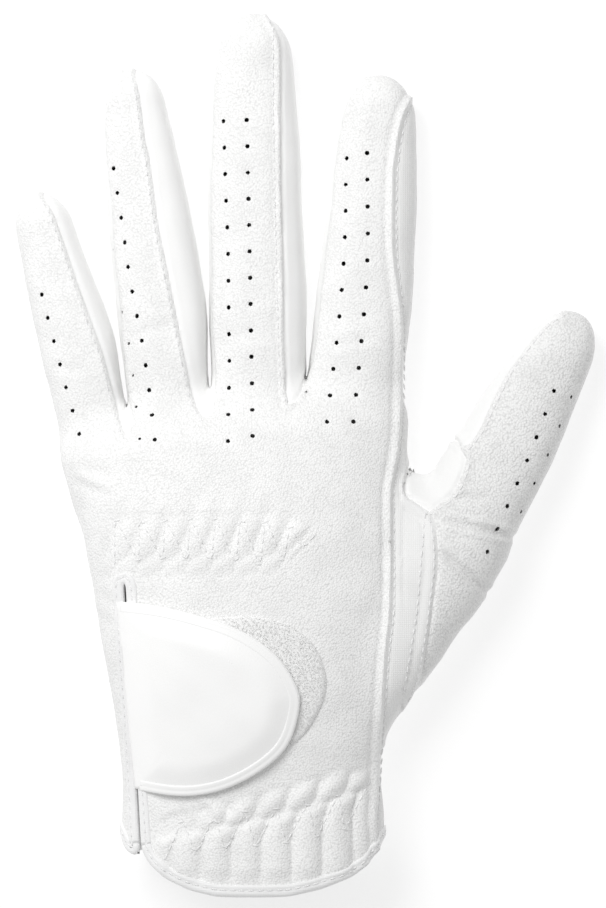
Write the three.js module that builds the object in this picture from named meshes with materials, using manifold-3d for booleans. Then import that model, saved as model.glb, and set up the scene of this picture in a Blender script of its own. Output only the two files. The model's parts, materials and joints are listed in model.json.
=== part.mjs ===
// Golf glove for a left hand, lying palm down as if a hand still filled it. Millimetres.
// +X points to the thumb side, +Y to the fingertips, +Z out of the back of the hand.
// The origin is on the resting surface, under the middle of the glove's outline.
// Every panel is cut from a hollow shell, so the hand, finger and thumb cavities stay open to the cuff.
// A finger has two soft folds, at its root and at its middle. Each fold is a hinge line low in the finger,
// with a V of open space under it, where the real leather crumples.
import * as THREE from "three";
import { ParametricGeometry } from "three/addons/geometries/ParametricGeometry.js";
import { mergeVertices } from "three/addons/utils/BufferGeometryUtils.js";
import Module from "manifold-3d";

const wasm = await Module();
wasm.setup();

// ---- driving dimensions ----
const WALL = 0.9; // leather
const KERF = 0.3; // gap between two panels that are sewn together
const LAYER = 0.3; // gap between two layers that lie on each other
const FLATTEN = 0.8; // how far the undersides would reach below the surface if they weren't pressed flat
const FAR = 400; // larger than the glove
const CRUMB = 3; // a cut may leave crumbs up to this volume, which are swept away
const HAND_POWER = 2.5; // superellipse power of the hand's section
const DIGIT_POWER = 2.2; // and of a finger's
const HAND_SIDES = 24;
const DIGIT_SIDES = 12;
const PALM_SEAM_Z = 7; // the side seam between back and palm
const SLIT_FLOOR_Z = 15; // the slit opens only the back
const ROOT_END = -20; // where a finger starts inside the hand
const THUMB_END = -2; // and the thumb
const BINDING = 2.6; // width of the tape round the cuff
const TAPE = 0.8; // thickness of a sewn-on tape or pad
const TAB_LEATHER = 1.1; // thickness of the closure tab
const TAB_TAPE = 1.8; // height of the tape round the tab's edge
const TAB_TAPE_WIDTH = 2.2;
const HOOK_INSET = 5.5; // how far the hook pad stays inside the tab's edge

// The hand along Y: its left and right edge and its height.
const HAND = [
  { y: -122, left: -47.6, right: 19.6, top: 32.0 },
  { y: -104, left: -48.0, right: 19.6, top: 32.0 },
  { y: -90, left: -47.6, right: 18.6, top: 31.5 },
  { y: -80, left: -47.4, right: 19.4, top: 32.0 },
  { y: -64, left: -49.8, right: 22.6, top: 33.0 },
  { y: -48, left: -52.4, right: 25.0, top: 33.5 },
  { y: -30, left: -56.2, right: 26.0, top: 32.5 },
  { y: -12, left: -59.8, right: 25.6, top: 30.5 },
  { y: 2, left: -62.6, right: 25.0, top: 28.0 },
  { y: 11, left: -63.0, right: 24.0, top: 25.0 },
  { y: 16.5, left: -61.0, right: 21.5, top: 20.0 },
];
const HAND_END_SLANT = 0.13; // the finger roots climb from the little finger to the index finger

// A digit runs from root to tip. half is its half width and high its height, at the root and where the tip
// begins.
// fold.root and fold.middle are how far its two folds are from the root.
const DIGITS = {
  little: {
    root: [-57.0, 15.5], tip: [-70.0, 67.4], half: [8.9, 6.9], high: [17.5, 14], cap: 9,
    fold: { root: 8, middle: 28 },
  },
  ring: {
    root: [-37.6, 22.5], tip: [-45.2, 99.8], half: [11.0, 8.1], high: [19.5, 15], cap: 10,
    fold: { root: 8, middle: 38 },
  },
  middle: {
    root: [-12.8, 25.1], tip: [-14.6, 114.0], half: [12.2, 10.6], high: [20.5, 16], cap: 13,
    fold: { root: 8, middle: 42 },
  },
  index: {
    root: [13.0, 25.9], tip: [18.7, 98.0], half: [12.4, 10.4], high: [20, 15.5], cap: 13,
    fold: { root: 7, middle: 35 },
  },
  thumb: {
    root: [37.4, -25.6], tip: [71.6, 35.4], half: [11.9, 9.0], high: [23, 17], cap: 11,
    fold: { root: 0, middle: 31 },
  },
};
// How high the folds' hinge lines are, and how far in degrees the open V under each one lets it turn.
const FOLD_HEIGHT = { root: 6.5, middle: 5.5 };
const FOLD_TURN = { root: 75, middle: 85 };
const THUMB_TURN = { root: 45, middle: 70 };

// ---- three.js geometry to closed solids and back ----
function solid(geometry) {
  const bare = geometry.index ? geometry.toNonIndexed() : geometry.clone();
  bare.deleteAttribute("normal");
  bare.deleteAttribute("uv");
  const merged = mergeVertices(bare, 1e-4);
  const index = merged.index.array;
  const kept = [];
  for (let i = 0; i < index.length; i += 3) {
    const [a, b, c] = [index[i], index[i + 1], index[i + 2]];
    if (a !== b && b !== c && c !== a) kept.push(a, b, c);
  }
  return new wasm.Manifold(
    new wasm.Mesh({
      numProp: 3,
      vertProperties: merged.attributes.position.array,
      triVerts: new Uint32Array(kept),
    }),
  );
}

function geometryOf(manifold) {
  const mesh = manifold.getMesh();
  const geometry = new THREE.BufferGeometry();
  geometry.setAttribute("position", new THREE.BufferAttribute(mesh.vertProperties.slice(), 3));
  geometry.setIndex(new THREE.BufferAttribute(mesh.triVerts.slice(), 1));
  geometry.computeVertexNormals();
  return geometry;
}

const joined = (parts) => parts.reduce((a, b) => a.add(b));

// A closed loft: rings is a list of functions from an angle to a point, and both ends close on their own
// centre.
function loft(rings, sides) {
  const centre = (ring) => ring(0).clone().add(ring(Math.PI)).multiplyScalar(0.5);
  const rows = [() => centre(rings[0]), ...rings, () => centre(rings[rings.length - 1])];
  const geometry = new ParametricGeometry(
    (u, v, target) => {
      const row = rows[Math.round(v * (rows.length - 1))];
      const side = Math.round(u * sides) % sides;
      target.copy(row((2 * Math.PI * side) / sides));
    },
    sides,
    rows.length - 1,
  );
  return outward(solid(geometry), geometry);
}

// The loft again with its rings the other way round, if its faces point inwards.
function outward(made, geometry) {
  if (made.volume() > 0) return made;
  const flipped = geometry.index ? geometry.toNonIndexed() : geometry.clone();
  const p = flipped.attributes.position;
  for (let i = 0; i < p.count; i += 3) {
    const a = new THREE.Vector3().fromBufferAttribute(p, i + 1);
    const b = new THREE.Vector3().fromBufferAttribute(p, i + 2);
    p.setXYZ(i + 1, b.x, b.y, b.z);
    p.setXYZ(i + 2, a.x, a.y, a.z);
  }
  return solid(flipped);
}

// A prism over an outline in the XY plane, from height low to high.
function prism(points, low = -5, high = 60) {
  const shape = new THREE.Shape(points.map(([x, y]) => new THREE.Vector2(x, y)));
  const geometry = new THREE.ExtrudeGeometry(shape, { depth: high - low, bevelEnabled: false, steps: 1 });
  geometry.translate(0, 0, low);
  return solid(geometry);
}

// A smooth curve through a few points of a seam, as a list of points.
function curve(points, divisions = 16, closed = false) {
  const through = points.map(([x, y]) => new THREE.Vector3(x, y, 0));
  const spline = new THREE.CatmullRomCurve3(through, closed, "centripetal");
  const found = spline.getPoints(divisions).map((p) => [p.x, p.y]);
  return closed ? found.slice(0, -1) : found;
}

// A thin upright wall along a seam: what a knife as wide as width takes away.
function ribbon(points, width = KERF) {
  const sides = points.map(([x, y], i) => {
    const [ax, ay] = points[Math.max(i - 1, 0)];
    const [bx, by] = points[Math.min(i + 1, points.length - 1)];
    const run = Math.hypot(bx - ax, by - ay);
    const [nx, ny] = [(-(by - ay) / run) * (width / 2), ((bx - ax) / run) * (width / 2)];
    return { one: [x + nx, y + ny], other: [x - nx, y - ny] };
  });
  return prism([...sides.map((s) => s.one), ...sides.map((s) => s.other).reverse()]);
}

// ---- the hand's surface, moved out by grow (in for a negative grow) ----
const power = (value, n) => Math.sign(value) * Math.abs(value) ** n;

function handBody(grow) {
  const rings = HAND.map((s, i) => (angle) => {
    const half = (s.right - s.left) / 2 + grow;
    const height = (s.top + FLATTEN) / 2 + grow;
    const x = (s.left + s.right) / 2 + half * power(Math.cos(angle), 2 / HAND_POWER);
    const z = (s.top - FLATTEN) / 2 + height * power(Math.sin(angle), 2 / HAND_POWER);
    const slant = HAND_END_SLANT * Math.max(0, i - 7) / 3;
    return new THREE.Vector3(x, s.y + slant * (x + 20) + (i === HAND.length - 1 ? grow : 0), z);
  });
  return loft(rings, HAND_SIDES);
}

// ---- a digit's own frame: s along it, u to its right, z up ----
function digitFrame(digit) {
  const [rx, ry] = digit.root;
  const along = new THREE.Vector3(digit.tip[0] - rx, digit.tip[1] - ry, 0);
  const length = along.length();
  along.normalize();
  const right = new THREE.Vector3(along.y, -along.x, 0);
  const place = (s, u, z) =>
    new THREE.Vector3(rx, ry, 0).addScaledVector(along, s).addScaledVector(right, u).setZ(z);
  return { along, right, length, place };
}

function digitBody(digit, grow, rootEnd) {
  const { length, place } = digitFrame(digit);
  const bodyEnd = length - digit.cap;
  const share = (s) => THREE.MathUtils.clamp(s / bodyEnd, 0, 1);
  const section = (s, scale) => (angle) => {
    const half = (THREE.MathUtils.lerp(digit.half[0], digit.half[1], share(s)) + grow) * scale;
    const full = THREE.MathUtils.lerp(digit.high[0], digit.high[1], share(s));
    const height = ((full + FLATTEN) / 2 + grow) * scale;
    const middle = (full - FLATTEN) / 2;
    const u = half * power(Math.cos(angle), 2 / DIGIT_POWER);
    return place(s, u, middle + height * power(Math.sin(angle), 2 / DIGIT_POWER));
  };
  const body = [rootEnd, digit.fold.root + 1, digit.fold.middle, bodyEnd];
  const rings = body.map((s) => section(s, 1));
  for (const turn of [38, 68]) {
    const t = THREE.MathUtils.degToRad(turn);
    rings.push(section(bodyEnd + (digit.cap + grow) * Math.sin(t), Math.cos(t)));
  }
  return loft(rings, DIGIT_SIDES);
}

// What lies on one side of a digit's fold: side is 1 towards the tip and -1 towards the wrist.
function foldSide(digit, at, height, turn, side) {
  const { place } = digitFrame(digit);
  const lean = Math.tan(THREE.MathUtils.degToRad(turn / 2 + 1));
  const gap = KERF / 2;
  const profile = [
    [gap, 60],
    [gap, height],
    [gap + (height + 5) * lean, -5],
    [FAR, -5],
    [FAR, 60],
  ].map(([s, z]) => new THREE.Vector2(side * s, z));
  if (side < 0) profile.reverse();
  const width = 60;
  const geometry = new THREE.ExtrudeGeometry(new THREE.Shape(profile), {
    depth: width, bevelEnabled: false, steps: 1,
  });
  // The outline's own x runs along the digit, its y is up, and the extrusion runs across.
  const across = place(0, 1, 0).sub(place(0, 0, 0));
  const along = place(1, 0, 0).sub(place(0, 0, 0));
  const start = place(at, -width / 2, 0);
  const turned = new THREE.Matrix4().makeBasis(along, new THREE.Vector3(0, 0, 1), across).setPosition(start);
  geometry.applyMatrix4(turned);
  return outward(solid(geometry), geometry);
}

// The wedge of a digit between two angles round its section, less half a kerf on each side.
function wedge(digit, from, to) {
  const { place, length } = digitFrame(digit);
  const centre = digit.high[0] * 0.45;
  const reach = 60;
  const [a, b] = [THREE.MathUtils.degToRad(from), THREE.MathUtils.degToRad(to)];
  const middle = (a + b) / 2;
  const inset = KERF / 2 / Math.max(0.2, Math.sin(Math.min((b - a) / 2, Math.PI / 2)));
  const steps = 3;
  const outline = [[Math.cos(middle) * inset, Math.sin(middle) * inset]];
  for (let i = 0; i <= steps; i++) {
    const t = a + ((b - a) * i) / steps;
    outline.push([Math.cos(t) * reach, Math.sin(t) * reach]);
  }
  // The two long sides are parallel to their seams, half a kerf inside them.
  outline[1][0] -= Math.sin(a) * (KERF / 2);
  outline[1][1] += Math.cos(a) * (KERF / 2);
  outline[steps + 1][0] += Math.sin(b) * (KERF / 2);
  outline[steps + 1][1] -= Math.cos(b) * (KERF / 2);
  const shape = new THREE.Shape(outline.map(([u, z]) => new THREE.Vector2(u, z)));
  const geometry = new THREE.ExtrudeGeometry(shape, { depth: length + 60, bevelEnabled: false, steps: 1 });
  const across = place(0, 1, 0).sub(place(0, 0, 0));
  const along = place(1, 0, 0).sub(place(0, 0, 0));
  const turned = new THREE.Matrix4().makeBasis(across, new THREE.Vector3(0, 0, 1), along);
  turned.setPosition(place(-30, 0, centre));
  geometry.applyMatrix4(turned);
  return outward(solid(geometry), geometry);
}

// ---- seams and outlines on the back of the hand ----
const backEdge = curve([
  [25.6, 50], [24.4, 31], [24.3, 23.8], [23.5, 8.2], [22.0, -7.4], [21.2, -25.6], [20.7, -46.4], [19.1, -62],
  [18.3, -77.6], [17.6, -93.2], [17.2, -125],
], 12);
const thumbSeam = curve([
  [29.5, -13.5], [33.3, -20], [34.2, -30], [33.0, -41.2], [30.4, -51.6], [26.6, -62], [21.5, -72],
], 7);
const webSeam = [
  [25.4, 0], [25.2, -6],
  ...curve([[25.5, -11], [29.5, -14.4], [33.6, -13.2], [38.2, -9], [41.8, -2], [43, 6]], 6),
];

const tabOutline = curve([
  [-48.4, -38.8], [-38.1, -39.9], [-27.7, -42.3], [-17.3, -45.9], [-8.2, -52.1], [-3.0, -59.9], [-2.2, -65.9],
  [-5.1, -75.0], [-11.6, -81.3], [-21.2, -86.2], [-31.6, -88.0], [-43.0, -86.4],
], 14);
const padOutline = curve([
  [-39.4, -38.2], [-27.7, -39.1], [-17.3, -40.7], [-9.5, -42.5], [-3.0, -45.1], [1.4, -49.0], [4.0, -53.7],
  [5.1, -58.9], [4.3, -63.8], [2.0, -68.5], [-1.7, -73.7], [-9.5, -79.4], [-19.9, -83.3], [-36.2, -84.9],
], 12);
const slit = { top: [-46.9, -33.6], bottom: [-41.6, -125], width: 1.4 };

// Draws an outline in towards its own middle, by the same distance at its four outermost points.
function inset(outline, by) {
  const shape = new THREE.Box2().setFromPoints(outline.map(([x, y]) => new THREE.Vector2(x, y)));
  const centre = shape.getCenter(new THREE.Vector2());
  const size = shape.getSize(new THREE.Vector2());
  const [fx, fy] = [1 - (2 * by) / size.x, 1 - (2 * by) / size.y];
  return outline.map(([x, y]) => [centre.x + (x - centre.x) * fx, centre.y + (y - centre.y) * fy]);
}

// ---- the cuff ----
// The hem drops lower on the back than at the sides and the palm. shift moves it towards the fingers.
function hemKept(shift) {
  const profile = [[FAR, -5], [FAR, 60], [-113.8 + shift, 60], [-113.8 + shift, 32]];
  for (const [y, z] of [[-112.4, 28.5], [-110, 25], [-107, 20.5], [-104.6, 14], [-103.6, 7], [-103.4, -5]])
    profile.push([y + shift, z]);
  const shape = new THREE.Shape(profile.map(([y, z]) => new THREE.Vector2(y, z)));
  const geometry = new THREE.ExtrudeGeometry(shape, { depth: FAR, bevelEnabled: false, steps: 1 });
  const turned = new THREE.Matrix4().makeBasis(
    new THREE.Vector3(0, 1, 0), new THREE.Vector3(0, 0, 1), new THREE.Vector3(1, 0, 0),
  );
  turned.setPosition(new THREE.Vector3(-FAR / 2, 0, 0));
  geometry.applyMatrix4(turned);
  return outward(solid(geometry), geometry);
}

// ---- shells ----
const box = [[-FAR, -FAR], [FAR, -FAR], [FAR, FAR], [-FAR, FAR]];
const above = (z) => prism(box, z, z + FAR);
const below = (z) => prism(box, z - FAR, z);
const turnOf = (name) => (name === "thumb" ? THUMB_TURN : FOLD_TURN);

// The thumb's swelling at the heel of the hand tapers away towards the wrist.
function thumbHeel(grow) {
  const { place } = digitFrame(DIGITS.thumb);
  const rings = [[4, 11.9, 23], [-12, 12.2, 25], [-26, 11.6, 26], [-38, 9.6, 25], [-50, 6, 22]].map(
    ([s, half, high]) => (angle) => {
      const u = (half + grow) * power(Math.cos(angle), 2 / DIGIT_POWER);
      const height = ((high + FLATTEN) / 2 + grow) * power(Math.sin(angle), 2 / DIGIT_POWER);
      return place(s, u, (high - FLATTEN) / 2 + height);
    },
  );
  return loft(rings, DIGIT_SIDES);
}

// The web between the thumb and the hand's side.
function thumbWeb(grow) {
  const geometry = new THREE.SphereGeometry(1, 12, 8);
  geometry.rotateX(Math.PI / 2);
  geometry.scale(9.5 + grow, 13.5 + grow, 9 + grow);
  geometry.translate(26, -22, 11);
  return outward(solid(geometry), geometry);
}

// The room that the bending thumb needs beside the hand and under its heel.
function thumbRoom() {
  const { thumb } = DIGITS;
  const { place, length } = digitFrame(thumb);
  const outline = [];
  for (const [s, u] of [[-9, -1], [length, -1], [length, 1], [-9, 1]]) {
    const half = s < 0 ? thumb.half[0] : thumb.half[1] + 1;
    const corner = place(s, u * (half + 2 * KERF), 0);
    outline.push([corner.x, corner.y]);
  }
  return prism(outline).subtract(foldSide(thumb, thumb.fold.root, FOLD_HEIGHT.root, THUMB_TURN.root, -1));
}

const outerHand = handBody(0);
const innerHand = handBody(-WALL);
const tubes = {};
for (const [name, digit] of Object.entries(DIGITS)) {
  const [outerEnd, innerEnd] = name === "thumb" ? [THUMB_END, THUMB_END - 1] : [ROOT_END, ROOT_END];
  tubes[name] = { outer: digitBody(digit, 0, outerEnd), inner: digitBody(digit, -WALL, innerEnd) };
}

function handShell() {
  const stubs = Object.entries(DIGITS).map(([name, digit]) =>
    tubes[name].outer.intersect(foldSide(digit, digit.fold.root, FOLD_HEIGHT.root, turnOf(name).root, -1)),
  );
  const heel = thumbHeel(0).intersect(
    foldSide(DIGITS.thumb, DIGITS.thumb.fold.root, FOLD_HEIGHT.root, THUMB_TURN.root, -1),
  );
  const outside = joined([outerHand, heel, thumbWeb(0), ...stubs]).intersect(above(0));
  const inner = Object.values(tubes).map((tube) => tube.inner);
  const inside = joined([innerHand, thumbHeel(-WALL), thumbWeb(-WALL), ...inner]).intersect(above(WALL));
  return outside.subtract(inside).subtract(thumbRoom());
}

// ---- materials ----
const finish = (color, roughness) =>
  new THREE.MeshStandardMaterial({ color, roughness, metalness: 0 });
const MATERIALS = {
  grained: finish(0xf1f0ee, 0.55),
  smooth: finish(0xf6f5f4, 0.45),
  mesh: finish(0xe4e4e4, 0.8),
  elastic: finish(0xe9e8e6, 0.85),
  tape: finish(0xf5f5f5, 0.6),
  loop: finish(0xdcdcdc, 0.95),
  hook: finish(0xe2e2e0, 0.9),
};

const glove = new THREE.Group();
glove.name = "golf_glove";
function add(name, manifold, material) {
  const bodies = manifold.decompose().sort((a, b) => b.volume() - a.volume());
  if (!bodies.length) throw new Error(`${name} is empty`);
  if (bodies.length > 1 && bodies[1].volume() > CRUMB) throw new Error(`${name} is in pieces`);
  const mesh = new THREE.Mesh(geometryOf(bodies[0]), MATERIALS[material]);
  mesh.name = name;
  glove.add(mesh);
}

// ---- hand panels ----
const hand = handShell().intersect(hemKept(BINDING + KERF));
const slitCut = ribbon([slit.top, slit.bottom], slit.width).intersect(above(SLIT_FLOOR_Z));

// A V between two fingers, from the web down to where the strip's point is sewn into back and palm.
const webs = {
  web_little_ring: [[-46.7, 2.5], [-50.4, 9], [-52.4, 16], [-57, 36], [-45.4, 36], [-45.4, 10]],
  web_ring_middle: [[-25.9, 6], [-28.8, 13], [-29.8, 44], [-21.8, 44], [-22.8, 13]],
  web_middle_index: [[-1.6, 10.5], [-3.4, 15], [-3.2, 46], [4.0, 46], [3.0, 15]],
};
function widen(outline, by) {
  const middle = outline[0][0];
  return outline.map(([x, y], i) => (i ? [x + Math.sign(x - middle) * by, y] : [x, y - 3 * by]));
}
const webCuts = joined(Object.values(webs).map((v) => prism(widen(v, KERF))));

// East of the back's edge: the side gusset, the thumb web and the heel of the thumb.
const lowSide = prism([[0, -130], [FAR, -130], [FAR, 5], [0, 5]], 0, 14);
const eastOfBack = prism([...backEdge, [FAR, -125], [FAR, 50]]).add(lowSide);
const seamCuts = joined([ribbon(backEdge).subtract(lowSide), ribbon(thumbSeam), ribbon(webSeam)]);
const webSide = prism([...webSeam, [60, 40]]);
const thumbSide = prism([...thumbSeam, [20.2, -79], [FAR, -79], [FAR, 6], [43, 6]]);

const east = hand.intersect(eastOfBack).subtract(seamCuts).subtract(webCuts);
const west = hand.subtract(eastOfBack).subtract(seamCuts).subtract(webCuts);

add("back_panel", west.intersect(above(PALM_SEAM_Z + KERF / 2)).subtract(slitCut), "grained");
add("thumb_web_gusset", east.intersect(webSide), "smooth");
const eastRest = east.subtract(webSide);
add("thumb_heel_panel", eastRest.intersect(thumbSide).intersect(above(PALM_SEAM_Z + KERF / 2)), "grained");
add("side_gusset", eastRest.subtract(thumbSide).intersect(above(PALM_SEAM_Z + KERF / 2)), "mesh");
const palm = hand.subtract(webCuts).subtract(ribbon(webSeam)).subtract(webSide.intersect(eastOfBack));
add("palm_panel", palm.intersect(below(PALM_SEAM_Z - KERF / 2)), "grained");
for (const [name, outline] of Object.entries(webs)) add(name, hand.intersect(prism(outline)), "smooth");

// ---- tapes and pads that follow the back of the hand ----
const skins = new Map();
function skin(grow) {
  if (!skins.has(grow)) skins.set(grow, handBody(grow));
  return skins.get(grow);
}
const layer = (low, high) => skin(high).subtract(skin(low)).intersect(above(PALM_SEAM_Z + 4));

const backInside = -WALL - LAYER;
const elasticBand = layer(backInside - TAPE, backInside);
const knuckles = curve([
  [-57.5, -14.5], [-30, -13.6], [-3.5, -13.4], [1.4, -21.5], [-3.5, -30.5], [-30, -31], [-55.5, -29.5],
], 12, true);
const wrist = [[-38.6, -90.5], [15.6, -90.5], [15.2, -106], [-37.6, -106]];
add("knuckle_elastic", elasticBand.intersect(prism(knuckles)), "elastic");
add("wrist_elastic", elasticBand.intersect(prism(wrist)), "elastic");

const ring = skin(TAPE).subtract(skin(-WALL - TAPE)).intersect(above(0));
add("cuff_binding", ring.intersect(hemKept(0)).subtract(hemKept(BINDING)).subtract(slitCut), "tape");

const padBand = layer(LAYER, LAYER + TAPE);
const slitTape = prism(curve(
  [[-50.0, -40], [-49.9, -34.5], [-47.0, -30.6], [-43.9, -34.5], [-43.6, -40]], 8,
)).add(ribbon([[-46.8, -39.5], slit.bottom], 6.2));
add("slit_binding", padBand.intersect(slitTape).intersect(hemKept(BINDING + KERF)).subtract(slitCut), "tape");
add("loop_pad", padBand.intersect(prism(padOutline)), "loop");

// ---- closure tab ----
const hookLow = LAYER * 2 + TAPE;
const tabLow = hookLow + TAPE + LAYER;
const tabTapeLow = tabLow - LAYER;
add("hook_pad", layer(hookLow, hookLow + TAPE).intersect(prism(inset(tabOutline, HOOK_INSET))), "hook");
const tabInner = prism(inset(tabOutline, TAB_TAPE_WIDTH + KERF));
add("tab_leather", layer(tabLow, tabLow + TAB_LEATHER).intersect(tabInner), "smooth");
const tabRing = prism(tabOutline).subtract(prism(inset(tabOutline, TAB_TAPE_WIDTH)));
add("tab_binding", layer(tabTapeLow, tabTapeLow + TAB_TAPE).intersect(tabRing), "tape");

// ---- fingers and thumb ----
const WALLS = {
  little: { back: [62, 205], right: [-25, 62], palm: [205, 335] },
  ring: { back: [70, 160], right: [-25, 70], palm: [205, 335], left: [160, 205] },
  middle: { back: [62, 160], right: [-25, 62], palm: [205, 335], left: [160, 205] },
  index: { back: [50, 160], side: [-25, 50], palm: [205, 335], left: [160, 205] },
  thumb: { back: [-25, 128], palm: [205, 335], side: [128, 205] },
};
const PIECES = {
  back: ["back", "grained"],
  palm: ["palm", "grained"],
  left: ["fourchette_left", "smooth"],
  right: ["fourchette_right", "smooth"],
  side: ["side_strip", "mesh"],
};
for (const [name, digit] of Object.entries(DIGITS)) {
  const shell = tubes[name].outer
    .intersect(above(0))
    .subtract(tubes[name].inner.intersect(above(WALL)));
  const turn = turnOf(name);
  const beyondRoot = foldSide(digit, digit.fold.root, FOLD_HEIGHT.root, turn.root, 1);
  const beforeMiddle = foldSide(digit, digit.fold.middle, FOLD_HEIGHT.middle, turn.middle, -1);
  const beyondMiddle = foldSide(digit, digit.fold.middle, FOLD_HEIGHT.middle, turn.middle, 1);
  const lower = shell.intersect(beyondRoot).intersect(beforeMiddle);
  const upper = shell.intersect(beyondMiddle);
  for (const [key, [from, to]] of Object.entries(WALLS[name])) {
    const [word, material] = PIECES[key];
    const cut = wedge(digit, from, to);
    const use = name === "thumb" && key === "side" ? "smooth" : material;
    add(`${name}_${word}_lower`, lower.intersect(cut), use);
    add(`${name}_${word}_tip`, upper.intersect(cut), use);
  }
}

// The origin goes under the middle of the outline.
const around = new THREE.Box3().setFromObject(glove);
const middle = around.getCenter(new THREE.Vector3());
for (const mesh of glove.children) mesh.position.set(-middle.x, -middle.y, -around.min.z);

export default glove;
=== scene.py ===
"""A left-hand golf glove that lies palm down, as open as if a hand still filled it.

The outer surface is one smooth field: a hand with five digits grown together. It is meshed once, cut
along its sewing lines into panels, and each panel is cut again where a finger bends. Sizes are in
millimetres in the pattern's own frame, whose zero the moving parts' hinges give; meshes are in metres.
"""

from __future__ import annotations

import json
import logging
import math
from dataclasses import dataclass, field
from enum import Enum
from typing import Callable, Iterable, Sequence

import bpy
import numpy as np
from mathutils import Matrix, Vector
from mathutils.bvhtree import BVHTree

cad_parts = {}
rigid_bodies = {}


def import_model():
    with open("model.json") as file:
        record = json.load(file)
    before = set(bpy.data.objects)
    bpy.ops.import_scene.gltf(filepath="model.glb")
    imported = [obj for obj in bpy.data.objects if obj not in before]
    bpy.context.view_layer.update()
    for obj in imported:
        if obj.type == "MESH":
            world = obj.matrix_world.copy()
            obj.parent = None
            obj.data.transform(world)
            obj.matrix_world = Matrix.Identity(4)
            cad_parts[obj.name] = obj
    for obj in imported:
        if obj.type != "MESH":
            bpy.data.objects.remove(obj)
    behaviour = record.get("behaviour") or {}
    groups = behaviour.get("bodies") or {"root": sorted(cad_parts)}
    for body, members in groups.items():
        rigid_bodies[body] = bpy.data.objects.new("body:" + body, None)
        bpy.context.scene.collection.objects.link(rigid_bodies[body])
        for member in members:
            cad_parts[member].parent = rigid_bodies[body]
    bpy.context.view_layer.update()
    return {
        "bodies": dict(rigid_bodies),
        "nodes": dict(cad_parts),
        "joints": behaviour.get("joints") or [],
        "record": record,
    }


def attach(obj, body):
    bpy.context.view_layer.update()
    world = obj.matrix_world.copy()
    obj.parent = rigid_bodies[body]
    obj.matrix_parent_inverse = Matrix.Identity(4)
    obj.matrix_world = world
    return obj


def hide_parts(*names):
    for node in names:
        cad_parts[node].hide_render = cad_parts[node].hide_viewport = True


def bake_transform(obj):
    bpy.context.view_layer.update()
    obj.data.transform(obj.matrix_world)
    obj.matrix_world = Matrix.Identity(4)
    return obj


Array = np.ndarray
Points = Sequence[tuple[float, float]]
MM = 0.001
log = logging.getLogger("golf_glove")


# ---- numbers and curves ----


def bell(distance: Array, width: float) -> Array:
    """A smooth bump of height one that is about twice width across."""
    return np.exp(-((distance / width) ** 2))


def ramp(value: Array, low: float, high: float) -> Array:
    """Zero below low, one above high, and smooth in between."""
    t = np.clip((value - low) / (high - low), 0.0, 1.0)
    return t * t * (3 - 2 * t)


def soft_min(a: Array, b: Array, radius: float) -> Array:
    """The lesser of two fields, rounded where they are nearly equal."""
    h = np.clip(0.5 + 0.5 * (b - a) / radius, 0.0, 1.0)
    return b * (1 - h) + a * h - radius * h * (1 - h)


def rounded_line(points: Points, divisions: int = 4, closed: bool = False) -> Array:
    """A curve that passes through a few points.

    Args:
        points: the points in order.
        divisions: how many straight steps each stretch gets.
        closed: whether the last point joins the first.

    Returns:
        The curve as an (n, 2) array.
    """
    p = np.array(points, float)
    ends = (p[-1:], p[:2]) if closed else (2 * p[:1] - p[1:2], 2 * p[-1:] - p[-2:-1])
    q = np.vstack([ends[0], p, ends[1]])
    out = []
    for i in range(len(q) - 3):
        for j in range(divisions):
            t = j / divisions
            a, b, c, d = q[i : i + 4]
            out.append(
                0.5 * (2 * b + (c - a) * t + (2 * a - 5 * b + 4 * c - d) * t**2 + (3 * b - a - 3 * c + d) * t**3)
            )
    if not closed:
        out.append(q[-2])
    return np.array(out)


def resampled(line: Array, step: float) -> Array:
    """The same line with its points an even distance apart."""
    run = np.r_[0, np.cumsum(np.linalg.norm(np.diff(line, axis=0), axis=1))]
    count = max(2, int(round(run[-1] / step)) + 1)
    at = np.linspace(0, run[-1], count)
    return np.stack([np.interp(at, run, line[:, k]) for k in range(line.shape[1])], axis=1)


def offset_line(line: Array, by: float) -> Array:
    """A flat line moved to its left by a distance."""
    along = np.gradient(line, axis=0)
    along /= np.linalg.norm(along, axis=1, keepdims=True) + 1e-12
    return line + by * np.stack([-along[:, 1], along[:, 0]], axis=1)


class Profile:
    """A size that changes smoothly along a length."""

    STEP = 0.5

    def __init__(self, stations: Points, softness: float = 3.0) -> None:
        """Rounds the straight stretches between stations over a distance of about softness."""
        at, value = zip(*sorted(stations))
        margin = 6 * softness
        self.at = np.arange(at[0] - margin, at[-1] + margin, self.STEP)
        reach = np.arange(-4 * softness, 4 * softness + self.STEP, self.STEP)
        kernel = np.exp(-0.5 * (reach / softness) ** 2)
        straight = np.interp(self.at, at, value)
        padded = np.pad(straight, len(reach) // 2, mode="edge")
        self.value = np.convolve(padded, kernel / kernel.sum(), mode="valid")[: len(self.at)]

    def __call__(self, at: Array) -> Array:
        """The size at each place."""
        return np.interp(at, self.at, self.value)


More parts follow.
